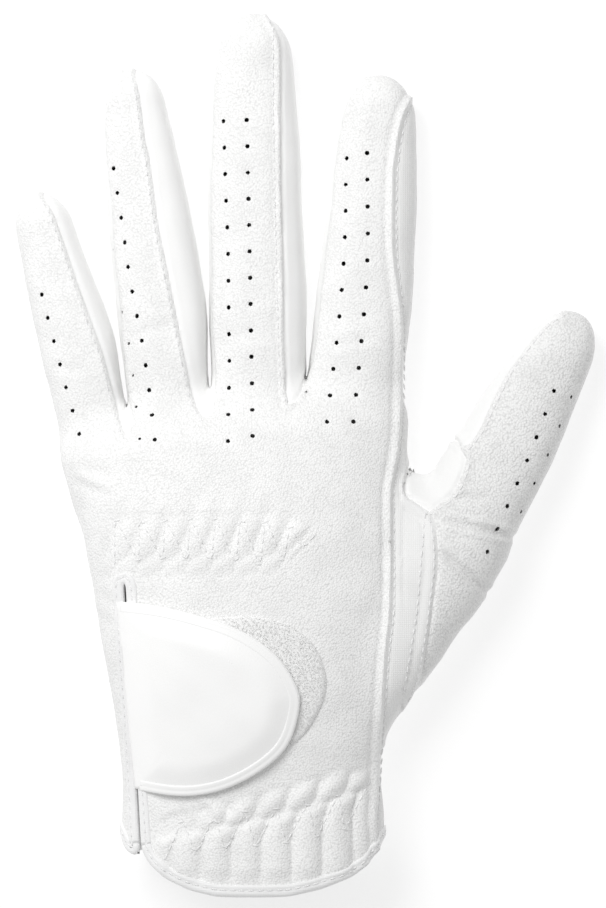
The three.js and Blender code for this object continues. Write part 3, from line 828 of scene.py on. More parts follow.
        centre = self.points[self.tris].mean(axis=1)
        upper = mean(self.seam_rise()) > 0
        inside = {name: mean(self.near(name)) < 0 for name in self.outlines}
        x, y = centre[:, 0], centre[:, 1]
        label = np.array([np.bincount(row, minlength=5).argmax() for row in self.label[self.tris]])
        name = np.where(upper, "back_panel", "palm_panel").astype("U40")
        name[upper & (y < -14) & (x > 21.0 + np.clip((y + 45) / 30, 0, 2))] = "thumb_heel_panel"
        pairs = {"little_ring": ("little", "ring"), "ring_middle": ("ring", "middle"), "middle_index": ("middle", "index")}
        webs = {"little": {"right": "web_little_ring"}, "ring": {"left": "web_little_ring", "right": "web_ring_middle"},
                "middle": {"left": "web_ring_middle", "right": "web_middle_index"}, "index": {"left": "web_middle_index"}}
        for web, (first, second) in pairs.items():
            name[upper & inside[web]] = "web_" + web
        index = self.hand.by_name["index"]
        side = mean(np.maximum(self.side_edge(index, "right"), -6 - self.points[:, 1])) < 0
        name[inside["gusset"] & upper] = "side_gusset"
        name[~upper & side & (x > 10) & (x < 34) & (label != 4)] = "side_gusset"
        for i, digit in enumerate(self.hand.digits):
            s, _ = digit.local(centre)
            beyond = (label == i) & (s > digit.root_fold - 8)
            part = np.where(s > digit.divide, "_tip", "_lower")
            word = np.where(upper, "_back", "_palm").astype("U40")
            if digit.name == "thumb":
                left = mean(np.maximum(self.side_edge(digit, "left"), 16 - digit.local(self.points)[0])) < 0
                word[(upper & inside["strip"]) | (~upper & left)] = "_side_strip"
                beyond &= ~(upper & (inside["gusset"] | inside["web"]))
            else:
                for edge in self.SIDES[digit.name]:
                    web = webs[digit.name][edge][4:]
                    low = mean(self.side_edge(digit, edge)) < 0
                    word[(upper & inside[web]) | (~upper & low)] = "_fourchette_" + edge
                if digit.name == "index":
                    word[(upper & inside["gusset"]) | (~upper & side)] = "_side_strip"
            named = np.char.add(np.char.add(digit.name, word), part)
            name[beyond] = named[beyond]
        name[upper & inside["web"]] = "thumb_web_gusset"
        return name

    # -- relief --

    def _relief(self) -> Array:
        """How far each point is raised above the smooth form, in millimetres."""
        p = self.points
        x, y = p[:, 0], p[:, 1]
        rise = self.seam_rise()
        upper = ramp(rise, 0.2, 2.0)
        out = np.zeros(len(p))
        for name, root in (("little_ring", 4.0), ("ring_middle", 9.0), ("middle_index", 13.0)):
            gap = self.near(name)
            fold = upper * ramp(y, root - 2, root + 10)
            out += fold * (0.36 * bell(gap - 1.0, 0.95) - 0.15 * bell(gap + 2.2, 1.2)) - 0.42 * upper * bell(gap + 0.25, 0.5)
        gap = self.near("middle_index")
        out += upper * (x < -3.5) * (0.35 * bell(gap - 0.6, 0.5) - 0.25 * bell(gap - 1.9, 0.4))
        gap = self.near("gusset")
        ridge = upper * (x < 27.5) * ((x < 24.7) | (y > 0))
        out += ridge * (0.75 * bell(gap, 0.75) - 0.3 * bell(gap - 1.5, 0.6) - 0.3 * bell(gap + 1.5, 0.6))
        band = upper * (1 - ridge) * (y < -8)
        out += band * (-0.5 * bell(gap, 0.5) + 0.3 * bell(gap + 1.5, 1.0) - 0.3 * bell(gap + 3.4, 0.5))
        for name in ("web", "strip"):
            gap = self.near(name)
            out += upper * (0.35 * bell(gap - 1.1, 0.9) - 0.45 * bell(gap + 0.1, 0.5))
        out += 0.3 * bell(rise - 1.3, 0.9) - 0.45 * bell(rise, 0.5)
        out += upper * (self._knuckle(x, y) + self._wrist(x, y))
        for start, end, depth, width in Lines.CREASES:
            a, b = np.array(start), np.array(end)
            t = ((p[:, :2] - a) @ (b - a)) / ((b - a) @ (b - a))
            gap = np.hypot(*(p[:, :2] - a - np.clip(t, 0, 1)[:, None] * (b - a)).T)
            fade = np.sin(np.pi * np.clip(t, 0, 1)) ** 0.5
            out -= upper * depth * fade * (bell(gap, width) - 0.45 * bell(gap - 1.7 * width, width))
        sway = np.sin(x / 7.3 + 1.3 * np.sin(y / 11.0)) * np.sin(y / 9.1 + 1.1 * np.sin(x / 8.0 + 0.7))
        fine = np.sin(x / 2.9 + y / 5.3 + 2 * np.sin(y / 6.1)) * np.sin(y / 3.4 - x / 6.0)
        out += 0.22 * sway + 0.07 * fine
        out -= 0.15 * bell(self.hole_gap(), 0.5)
        return out

    @staticmethod
    def _puff(phase: Array, sharp: float = 0.85) -> Array:
        """A row of puffs with a narrow valley at each whole number."""
        return np.abs(np.sin(np.pi * phase)) ** sharp

    @staticmethod
    def _dome(across: Array) -> Array:
        """One at zero, and none beyond one either way."""
        return np.cos(np.pi / 2 * np.clip(across, -1, 1)) ** 0.7

    def _knuckle(self, x: Array, y: Array) -> Array:
        """The gathers over the knuckles: tall leaning puffs over a row of short ones."""
        middle = -23.0 + 0.03 * (x + 30) + 1.0 * ramp(x, -10, 1)
        half = np.interp(x, [-58, -52, -8, 2.4], [4.5, 6.8, 6.8, 1.2])
        across = (y - middle) / half
        phase = (x + 25.3 - 2.4 * across) / 6.3
        tall = self._puff(phase) * self._dome((across - 0.12) / 0.92)
        short = 0.7 * self._puff(phase + 0.5) * self._dome((across + 0.92) / 0.42)
        spread = np.cos(2 * np.pi * phase) * bell(np.maximum(np.abs(across) - 1.1, 0), 0.5) * ramp(np.abs(across), 0.8, 1.2)
        ends = ramp(x, -59.0, -44.0) * ramp(-x, -3.2, 0.8)
        inside = ramp(1.35 - np.abs(across + 0.15), 0, 0.35)
        return ends * (0.9 * np.maximum(tall, short) - 0.35 * inside - 0.12 * spread)

    def _wrist(self, x: Array, y: Array) -> Array:
        """The gathers across the wrist, and the pleats that run from them to the hem."""
        middle = -96.4 + 0.19 * (x + 22) + 0.002 * (x + 22) ** 2 * (x > -22)
        half = np.interp(x, [-40, -34, 8, 17.4], [4.0, 5.4, 6.0, 3.6])
        across = (y - middle) / half
        phase = (x + 21.5 - 1.7 * np.clip(across, -1, 1)) / 7.8
        upper = self._puff(phase) * self._dome((across - 0.55) / 0.6) * ramp(x, -34.0, -18.0)
        long = self._puff(phase + 0.5, 0.7) * ramp(-across, -0.2, 0.35) * ramp(y, -112.5, -106.5)
        ends = ramp(x, -40.5, -34.0) * ramp(-x, -17.6, -13.0)
        inside = ramp(1.3 - across, 0, 0.4) * ramp(y, -112.5, -108.0)
        return ends * (1.5 * np.maximum(upper, long) - 0.6 * inside)

    def on_top(self, line: Array) -> tuple[Array, Array]:
        """A flat line laid on the finished skin from above.

        Args:
            line: points in the pattern's plane.

        Returns:
            The points that meet the skin, and its direction at each.
        """
        found, way = [], []
        for x, y in line:
            hit, normal, _, _ = self.tree.ray_cast(Vector((x, y, 60.0)), Vector((0, 0, -1)))
            if hit is not None and normal.z > self.STEEPEST:
                found.append(hit)
                way.append(normal)
        return np.array(found).reshape(-1, 3), np.array(way).reshape(-1, 3)

    def zone(self, point: Array) -> tuple[Zone, str]:
        """The zone of a point on the skin, and its digit."""
        label = self.hand.nearest(point[None])[1][0]
        digit = self.hand.digits[label]
        s = digit.local(point[None])[0][0]
        if s > digit.divide:
            return Zone.TIP, digit.name
        if s > digit.root_fold - 8:
            return Zone.LOWER, digit.name
        return (Zone.THUMB_SIDE, "thumb") if point[0] > 26 else (Zone.HAND, "hand")


# ---- making ----


class Grain(Enum):
    """What a surface looks like close up."""

    PEBBLE = "pebble"
    SMOOTH = "smooth"
    SUEDE = "suede"
    WEAVE = "weave"
    PILE = "pile"
    TWIST = "twist"


@dataclass(frozen=True)
class Finish:
    """One material: its colours, its gloss and the pattern of its surface, sized in millimetres."""

    name: str
    slot: str
    light: tuple[float, float, float]
    dark: tuple[float, float, float]
    roughness: float
    grain: Grain
    size: float
    depth: float
    sheen: float = 0.0
    specular: float = 0.35

    def build(self) -> bpy.types.Material:
        """The finished material."""
        material = bpy.data.materials.new(self.name)
        material.use_nodes = True
        tree = material.node_tree
        shader = tree.nodes["Principled BSDF"]
        shader.inputs["Roughness"].default_value = self.roughness
        shader.inputs["Specular IOR Level"].default_value = self.specular
        shader.inputs["Sheen Weight"].default_value = self.sheen
        shader.inputs["Sheen Roughness"].default_value = 0.6
        place = tree.nodes.new("ShaderNodeTexCoord")
        scaled = tree.nodes.new("ShaderNodeMapping")
        scaled.inputs["Scale"].default_value = (1 / (self.size * MM),) * 3
        tree.links.new(place.outputs["Object"], scaled.inputs["Vector"])
        height = self._height(tree, scaled.outputs["Vector"])
        self._colour(tree, scaled.outputs["Vector"], height, shader)
        bump = tree.nodes.new("ShaderNodeBump")
        bump.inputs["Strength"].default_value = 1.0
        bump.inputs["Distance"].default_value = self.depth * MM
        tree.links.new(height, bump.inputs["Height"])
        tree.links.new(bump.outputs["Normal"], shader.inputs["Normal"])
        return material

    def _height(self, tree: bpy.types.NodeTree, vector: bpy.types.NodeSocket) -> bpy.types.NodeSocket:
        """The pattern's height over the surface."""
        noise = self._noise(tree, vector, 2.6, 4.0)
        if self.grain in (Grain.SMOOTH, Grain.SUEDE):
            return noise
        if self.grain is Grain.PEBBLE:
            bend = tree.nodes.new("ShaderNodeVectorMath")
            bend.operation = "MULTIPLY_ADD"
            wobble = tree.nodes.new("ShaderNodeTexNoise")
            wobble.inputs["Scale"].default_value = 0.9
            tree.links.new(vector, wobble.inputs["Vector"])
            tree.links.new(wobble.outputs["Color"], bend.inputs[0])
            bend.inputs[1].default_value = (0.35, 0.35, 0.35)
            tree.links.new(vector, bend.inputs[2])
            cells = tree.nodes.new("ShaderNodeTexVoronoi")
            cells.feature = "SMOOTH_F1"
            cells.inputs["Scale"].default_value = 1.0
            cells.inputs["Smoothness"].default_value = 0.12
            tree.links.new(bend.outputs[0], cells.inputs["Vector"])
            drop = self._maths(tree, "POWER", cells.outputs["Distance"], 1.7)
            base = self._maths(tree, "MULTIPLY", drop, -1.3)
            fine = self._maths(tree, "MULTIPLY", noise, 0.2)
            return self._maths(tree, "ADD", base, fine)
        if self.grain is Grain.PILE:
            return self._noise(tree, vector, 1.0, 6.0)
        wave = tree.nodes.new("ShaderNodeTexWave")
        wave.wave_type = "BANDS"
        wave.bands_direction = "DIAGONAL" if self.grain is Grain.TWIST else "X"
        wave.inputs["Scale"].default_value = 0.33
        wave.inputs["Distortion"].default_value = 0.6
        tree.links.new(vector, wave.inputs["Vector"])
        if self.grain is Grain.TWIST:
            return wave.outputs["Fac"]
        cross = tree.nodes.new("ShaderNodeTexWave")
        cross.bands_direction = "Y"
        cross.inputs["Scale"].default_value = 0.33
        cross.inputs["Distortion"].default_value = 0.6
        tree.links.new(vector, cross.inputs["Vector"])
        both = self._maths(tree, "MULTIPLY", wave.outputs["Fac"], cross.outputs["Fac"])
        return self._maths(tree, "ADD", both, self._maths(tree, "MULTIPLY", noise, 0.4))

    @staticmethod
    def _noise(tree: bpy.types.NodeTree, vector: bpy.types.NodeSocket, scale: float, detail: float) -> bpy.types.NodeSocket:
        """A cloudy pattern."""
        noise = tree.nodes.new("ShaderNodeTexNoise")
        noise.inputs["Scale"].default_value = scale
        noise.inputs["Detail"].default_value = detail
        tree.links.new(vector, noise.inputs["Vector"])
        return noise.outputs["Fac"]

    @staticmethod
    def _maths(tree: bpy.types.NodeTree, operation: str, first: bpy.types.NodeSocket, second: object) -> bpy.types.NodeSocket:
        """One sum of a socket with a number or another socket."""
        node = tree.nodes.new("ShaderNodeMath")
        node.operation = operation
        tree.links.new(first, node.inputs[0])
        if isinstance(second, float):
            node.inputs[1].default_value = second
        else:
            tree.links.new(second, node.inputs[1])
        return node.outputs[0]

    def _colour(self, tree: bpy.types.NodeTree, vector: bpy.types.NodeSocket, height: bpy.types.NodeSocket,
                shader: bpy.types.Node) -> None:
        """Darker in the pattern's hollows, which is painted shade, and in broad faint clouds of random tone."""
        clouds = self._noise(tree, vector, 0.07 if self.grain is not Grain.PILE else 0.5, 3.0)
        # the pattern's height darkens its hollows as painted shade; the clouds add random tone
        share = self._maths(tree, "ADD", self._maths(tree, "MULTIPLY", height, 0.8), clouds)
        tones = tree.nodes.new("ShaderNodeValToRGB")
        low, high = (0.0, 0.42) if self.grain is Grain.PEBBLE else (0.3, 1.0)
        tones.color_ramp.elements[0].position = low
        tones.color_ramp.elements[0].color = (*self.dark, 1)
        tones.color_ramp.elements[1].position = high
        tones.color_ramp.elements[1].color = (*self.light, 1)
        tree.links.new(share, tones.inputs["Fac"])
        tree.links.new(tones.outputs["Color"], shader.inputs["Base Color"])


FINISHES = {
    finish.name: finish
    for finish in (
        # a darker copy of the back's grained leather for the thumb and the heel: its lower albedo is painted shade for
        # the side away from the lamp
        Finish("grained_leather_white", "grained_leather", (0.905, 0.905, 0.9), (0.79, 0.79, 0.785), 0.5, Grain.PEBBLE, 0.56, 0.15),
        Finish("back_leather_white", "grained_leather", (0.935, 0.935, 0.93), (0.85, 0.85, 0.845), 0.52, Grain.PEBBLE, 0.52, 0.12),
        Finish("palm_leather_white", "grained_leather", (0.95, 0.95, 0.945), (0.88, 0.88, 0.875), 0.5, Grain.PEBBLE, 0.4, 0.04),
        Finish("knit_white", "mesh", (0.9, 0.9, 0.895), (0.82, 0.82, 0.815), 0.75, Grain.WEAVE, 0.5, 0.07, 0.2, 0.2),
        Finish("smooth_leather_white", "smooth_leather", (0.97, 0.97, 0.965), (0.93, 0.93, 0.925), 0.45, Grain.SMOOTH, 0.9, 0.05),
        Finish("web_leather_white", "smooth_leather", (0.9, 0.9, 0.895), (0.85, 0.85, 0.845), 0.5, Grain.SMOOTH, 0.9, 0.05),
        # a slightly brighter copy of the smooth leather for the tab and its edge tape: its higher albedo is painted
        # light
        Finish("tab_leather_white", "smooth_leather", (0.98, 0.98, 0.975), (0.94, 0.94, 0.935), 0.42, Grain.SMOOTH, 0.9, 0.04),
        Finish("suede_inside", "smooth_leather", (0.62, 0.62, 0.61), (0.5, 0.5, 0.49), 0.95, Grain.SUEDE, 0.4, 0.08, 0.3, 0.1),
        Finish("elastic_white", "elastic", (0.85, 0.85, 0.84), (0.68, 0.68, 0.67), 0.85, Grain.WEAVE, 0.7, 0.15),
        Finish("tape_white", "binding_tape", (0.92, 0.92, 0.92), (0.84, 0.84, 0.84), 0.5, Grain.WEAVE, 0.45, 0.05, 0.1),
        Finish("loop_pile_grey", "loop_pile", (0.91, 0.91, 0.905), (0.79, 0.79, 0.785), 0.9, Grain.PILE, 0.6, 0.12, 0.4, 0.1),
        Finish("hook_tape_white", "hook_tape", (0.85, 0.85, 0.84), (0.66, 0.66, 0.65), 0.6, Grain.PILE, 0.8, 0.2),
        Finish("thread_white", "thread", (0.93, 0.93, 0.93), (0.74, 0.74, 0.74), 0.55, Grain.TWIST, 0.35, 0.06, 0.2),
    )
}  # fmt: skip


class Bench:
    """Turns points in pattern millimetres into pieces in the shared frame."""

    WALL = 0.9

    def __init__(self, frame: dict, skin: GloveSkin) -> None:
        """Finds the pattern's place in the frame from a finger's hinge."""
        self.skin, self.hand = skin, skin.hand
        hinge = next(j for j in frame["joints"] if j["name"] == "middle_root_fold")
        digit = self.hand.by_name["middle"]
        there = digit.place(digit.root_fold, 0)[:2]
        self.shift = np.array([*(np.array(hinge["pos_m"][:2]) / MM - there), 0.0])
        self.materials = {name: finish.build() for name, finish in FINISHES.items()}
        log.info("pattern shift %s mm", np.round(self.shift, 3))

    def place(self, point: Array) -> tuple[float, float, float]:
        """A pattern point in the frame's metres."""
        return tuple(float(v) for v in (np.asarray(point, float) + self.shift) * MM)

    def object(self, name: str, points: Array, faces: Array, finishes: Sequence[str],
               which: Array | None = None, normals: Array | None = None, smooth: bool = True) -> bpy.types.Object:
        """A mesh object of triangles.

        Args:
            name: the piece's name.
            points: in pattern millimetres.
            faces: an (n, 3) array.
            finishes: names of its materials.
            which: the material of each face.
            normals: the direction of each point, where the shading must meet a neighbour's.
            smooth: whether the shading is smooth.

        Returns:
            The new object.
        """
        mesh = bpy.data.meshes.new(name)
        mesh.vertices.add(len(points))
        mesh.vertices.foreach_set("co", ((points + self.shift) * MM).astype(np.float32).ravel())
        mesh.loops.add(3 * len(faces))
        mesh.loops.foreach_set("vertex_index", faces.astype(np.int32).ravel())
        mesh.polygons.add(len(faces))
        mesh.polygons.foreach_set("loop_start", np.arange(0, 3 * len(faces), 3, dtype=np.int32))
        if which is not None:
            mesh.polygons.foreach_set("material_index", which.astype(np.int32))
        mesh.polygons.foreach_set("use_smooth", np.full(len(faces), smooth))
        mesh.update(calc_edges=True)
        for finish in finishes:
            mesh.materials.append(self.materials[finish])
        if normals is not None:
            mesh.normals_split_custom_set_from_vertices(normals.tolist())
        made = bpy.data.objects.new(name, mesh)
        bpy.context.scene.collection.objects.link(made)
        return made

    def grid(self, name: str, rows: Array, finishes: Sequence[str], closed: bool = False,
             around: bool = True) -> bpy.types.Object:
        """A tube or ribbon through rows of points.

        Args:
            name: the piece's name.
            rows: an (n, m, 3) array, the m points of each row being one cross-section.
            finishes: names of its materials.
            closed: whether the last row joins the first.
            around: whether each row is a closed ring; its ends are then capped unless closed.

        Returns:
            The new object.
        """
        n, m, _ = rows.shape
        i = np.arange(n if closed else n - 1)[:, None]
        j = np.arange(m if around else m - 1)[None, :]
        a, b = i * m + j, i * m + (j + 1) % m
        c, d = ((i + 1) % n) * m + (j + 1) % m, ((i + 1) % n) * m + j
        quads = np.stack([a, b, c, d], axis=-1).reshape(-1, 4)
        tris = [quads[:, :3], quads[:, [0, 2, 3]]]
        if around and not closed:
            fan = np.arange(1, m - 1)
            tris.append(np.stack([0 * fan, fan + 1, fan], axis=1))
            tris.append(np.stack([0 * fan, fan, fan + 1], axis=1) + (n - 1) * m)
        faces = np.vstack(tris)
        points = rows.reshape(-1, 3)
        a3, b3, c3 = (points[faces[:, k]] for k in range(3))
        if around and (a3 * np.cross(b3, c3)).sum() < 0:
            faces = faces[:, ::-1]
        return self.object(name, points, faces, finishes)

    def dress(self, piece: bpy.types.Object, zone: Zone, digit: str, node: str, slot: str) -> None:
        """Parents a piece on the hand or the tab to that body, bakes the transform of any other piece, and hides the
        CAD node that it stands for.

        Args:
            piece: the finished piece.
            zone: where it lies.
            digit: the digit that it lies on.
            node: the CAD node that it replaces, or nothing.
            slot: the record's material slot; not used.
        """
        if zone is Zone.HAND:
            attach(piece, "tab" if digit == "tab" else "hand")
        elif digit == "thumb" and zone is not Zone.TIP:
            self.place((27.0, -24, 6.5))
            self.place((37.5, -24, 6.5))
            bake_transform(piece)
        else:
            limb = self.hand.by_name[digit]
            at, half = (limb.middle_fold, 7) if zone is Zone.TIP else (limb.root_fold, 8)
            self.place(limb.place(at - half, 0, 6))
            self.place(limb.place(at + half, 0, 6))
            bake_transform(piece)
        if node:
            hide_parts(node)
        log.info("%s: %d triangles", piece.name, len(piece.data.polygons))


class Shell:
    """The sewn panels, each with its outside, its suede inside and its edge."""

    THUMB_SIDE = ("palm_panel", "side_gusset", "thumb_heel_panel", "thumb_web_gusset")

    def __init__(self, bench: Bench) -> None:
        """Keeps the bench that makes the panels."""
        self.bench, self.skin = bench, bench.skin

    def finish_of(self, node: str) -> str:
        """The outside finish of a panel."""
        if node.startswith("thumb_side") or node == "thumb_web_gusset":
            return "web_leather_white"
        if node.startswith("web_") or "fourchette" in node:
            return "smooth_leather_white"
        if "palm" in node:
            return "palm_leather_white"
        if node == "side_gusset" or node.startswith("index_side_strip"):
            return "knit_white"
        # the thumb and the heel take the darker copy of the grained leather, whose lower albedo is painted shade
        return "back_leather_white" if "back" in node and "thumb" not in node else "grained_leather_white"

    def build(self) -> None:
        """Makes every panel."""
        for node in np.unique(self.skin.names):
            self._panel(str(node))

    def _panel(self, node: str) -> None:
        """Makes one panel from its part of the skin."""
        tris = self.skin.tris[self.skin.names == node]
        used, tris = np.unique(tris, return_inverse=True)
        tris = tris.reshape(-1, 3)
        m = len(used)
        outer, way = self.skin.finished[used], self.skin.normal[used]
        points = np.vstack([outer, outer - way * self.bench.WALL])
        edges = np.vstack([tris[:, [0, 1]], tris[:, [1, 2]], tris[:, [2, 0]]])
        key, back = edges[:, 0] * m + edges[:, 1], edges[:, 1] * m + edges[:, 0]
        a, b = edges[~np.isin(key, back)].T
        rim = np.vstack([np.stack([b, a, a + m], axis=1), np.stack([b, a + m, b + m], axis=1)])
        faces = np.vstack([tris, tris[:, ::-1] + m, rim])
        which = np.r_[np.zeros(len(tris)), np.ones(len(tris)), np.zeros(len(rim))]
        finish = self.finish_of(node)
        piece = self.bench.object(
            node + "_sewn", points, faces, (finish, "suede_inside"), which, np.vstack([way, -way])
        )
        parts = node.split("_")
        zone, digit = Zone.HAND, "hand"
        if parts[-1] in ("lower", "tip"):
            zone, digit = Zone(parts[-1]), parts[0]
        elif node in self.THUMB_SIDE:
            zone, digit = Zone.THUMB_SIDE, "thumb"
        self.bench.dress(piece, zone, digit, node, FINISHES[finish].slot)


class Stitching:
    """Thread, laid along the sewing lines."""

    PITCH = 2.4
    LIFT = 0.02

    def __init__(self, bench: Bench) -> None:
        """Keeps the bench, and starts with no lines."""
        self.bench, self.skin = bench, bench.skin
        self.runs: dict[tuple[Zone, str], list[tuple[Array, Array]]] = {}

    def add(self, points: Array, way: Array, zone: tuple[Zone, str] | None = None) -> None:
        """Adds a line of stitches.

        Args:
            points: the line on the surface, in pattern millimetres.
            way: the surface's direction at each point.
            zone: where the whole line lies, or nothing for a line on the skin that may cross folds.
        """
        if zone is not None:
            self.runs.setdefault(zone, []).append((points, way))
            return
        keys = [self.skin.zone(p) for p in points]
        keys = [(Zone.LOWER, "thumb") if key[0] is Zone.THUMB_SIDE else key for key in keys]
        start = 0
        for i in range(1, len(points) + 1):
            if i == len(points) or keys[i] != keys[start]:
                stop = min(i + 1, len(points))
                if stop - start > 2:
                    self.runs.setdefault(keys[start], []).append((points[start:stop], way[start:stop]))
                start = i

    def on_top(self, line: Points | Array, offset: float = 0.0, divisions: int = 4) -> None:
        """Adds a flat line, moved to its left, that lies on the skin seen from above."""
        curve = rounded_line(line, divisions) if divisions > 1 else np.array(line, float)
        flat = resampled(offset_line(resampled(curve, 1.2), offset), 1.2)
        points, way = self.skin.on_top(flat)
        if len(points) > 3:
            self.add(points, way)

    def pattern(self) -> None:
        """Adds every sewing line of the upper side."""
        self.on_top(Lines.LITTLE_RING[:11], -1.1)
        self.on_top(Lines.RING_MIDDLE[:11], -1.1)
        self.on_top(Lines.MIDDLE_TOPSTITCH)
        self.on_top(Lines.RIDGE[:17], 1.4)
        self.on_top(Lines.BAND[3:10], 1.0)
        self.on_top(Lines.BAND_INNER)
        self.on_top(Lines.WEB[2:8], -1.1)
        self.on_top(Lines.THUMB_STRIP[:8], -1.1)

    def build(self) -> None:
        """Makes one piece of thread for each zone."""
        tree = self._tree()
        for (zone, digit), runs in self.runs.items():
            name = f"stitches_{digit}" + ("" if zone is Zone.HAND else f"_{zone.value}")
            mesh = bpy.data.meshes.new(name + "_line")
            points = np.vstack([run[0] for run in runs])
            way = np.vstack([run[1] for run in runs])
            edges, base = [], 0
            for line, _ in runs:
                edges += [(base + i, base + i + 1) for i in range(len(line) - 1)]
                base += len(line)
            mesh.from_pydata(((points + way * self.LIFT + self.bench.shift) * MM).tolist(), edges, [])
            up = mesh.attributes.new("skin_up", "FLOAT_VECTOR", "POINT")
            up.data.foreach_set("vector", way.astype(np.float32).ravel())
            holder = bpy.data.objects.new(name + "_line", mesh)
            bpy.context.scene.collection.objects.link(holder)
            piece = grown(holder, tree, name, {"Pitch": self.PITCH * MM, "Length": 1.9 * MM, "Width": 0.5 * MM, "Height": 0.42 * MM})
            self.bench.dress(piece, zone, digit, "", "thread")

    def _tree(self) -> bpy.types.NodeTree:
        """Stitches an even distance apart along the lines that come in, lying on the skin."""
        tree = new_tree("stitch_row", (("Pitch", 0.0024), ("Length", 0.0018), ("Width", 0.0005), ("Height", 0.0004)))
        source, target = tree.nodes["Group Input"], tree.nodes["Group Output"]
        curve = tree.nodes.new("GeometryNodeMeshToCurve")
        spaced = tree.nodes.new("GeometryNodeResampleCurve")
        spaced.mode = "LENGTH"
        bead = tree.nodes.new("GeometryNodeMeshUVSphere")
        bead.inputs["Segments"].default_value = 7
        bead.inputs["Rings"].default_value = 5
        bead.inputs["Radius"].default_value = 0.5
        soft = tree.nodes.new("GeometryNodeSetShadeSmooth")
        put = tree.nodes.new("GeometryNodeInstanceOnPoints")
        up = tree.nodes.new("GeometryNodeInputNamedAttribute")
        up.data_type = "FLOAT_VECTOR"
        up.inputs["Name"].default_value = "skin_up"
        along = tree.nodes.new("GeometryNodeInputTangent")
        first = tree.nodes.new("FunctionNodeAlignEulerToVector")
        first.axis = "Z"
        second = tree.nodes.new("FunctionNodeAlignEulerToVector")
        second.axis, second.pivot_axis = "X", "Z"
        size = tree.nodes.new("ShaderNodeCombineXYZ")
        real = tree.nodes.new("GeometryNodeRealizeInstances")
        coat = tree.nodes.new("GeometryNodeSetMaterial")
        coat.inputs["Material"].default_value = self.bench.materials["thread_white"]
        link = tree.links.new
        link(source.outputs["Geometry"], curve.inputs["Mesh"])
        link(curve.outputs["Curve"], spaced.inputs["Curve"])
        link(source.outputs["Pitch"], spaced.inputs["Length"])
        link(spaced.outputs["Curve"], put.inputs["Points"])
        link(bead.outputs["Mesh"], soft.inputs["Geometry"])
        link(soft.outputs["Geometry"], put.inputs["Instance"])
        link(up.outputs["Attribute"], first.inputs["Vector"])
        link(first.outputs["Rotation"], second.inputs["Rotation"])
        link(along.outputs["Tangent"], second.inputs["Vector"])
        link(second.outputs["Rotation"], put.inputs["Rotation"])
        for axis, name in zip("XYZ", ("Length", "Width", "Height")):
            link(source.outputs[name], size.inputs[axis])
        link(size.outputs["Vector"], put.inputs["Scale"])
        link(put.outputs["Instances"], real.inputs["Geometry"])
        link(real.outputs["Geometry"], coat.inputs["Geometry"])
        link(coat.outputs["Geometry"], target.inputs["Geometry"])
        return tree


def new_tree(name: str, sizes: Sequence[tuple[str, float]]) -> bpy.types.NodeTree:
    """An empty Geometry Nodes tree with a geometry and some sizes going in, and a geometry coming out."""
    tree = bpy.data.node_groups.new(name, "GeometryNodeTree")
    tree.interface.new_socket("Geometry", in_out="INPUT", socket_type="NodeSocketGeometry")
    for label, value in sizes:
        socket = tree.interface.new_socket(label, in_out="INPUT", socket_type="NodeSocketFloat")
        socket.default_value = value
    tree.interface.new_socket("Geometry", in_out="OUTPUT", socket_type="NodeSocketGeometry")
    tree.nodes.new("NodeGroupInput")
    tree.nodes.new("NodeGroupOutput")
    return tree


def grown(holder: bpy.types.Object, tree: bpy.types.NodeTree, name: str, sizes: dict[str, float]) -> bpy.types.Object:
    """Runs a Geometry Nodes tree on an object and keeps its result as a plain mesh.

    Args:
        holder: the object that goes in, which is removed.
        tree: the tree.
        name: the new piece's name.
        sizes: the tree's inputs by name.

    Returns:
        The new piece.
    """
    modifier = holder.modifiers.new("growth", "NODES")
    modifier.node_group = tree
    for item in tree.interface.items_tree:
        if item.in_out == "INPUT" and item.name in sizes:
            modifier[item.identifier] = sizes[item.name]
    graph = bpy.context.evaluated_depsgraph_get()
    mesh = bpy.data.meshes.new_from_object(holder.evaluated_get(graph))
    mesh.name = name
    piece = bpy.data.objects.new(name, mesh)
    bpy.context.scene.collection.objects.link(piece)
    holder.modifiers.remove(modifier)
    bpy.data.objects.remove(holder)
    return piece


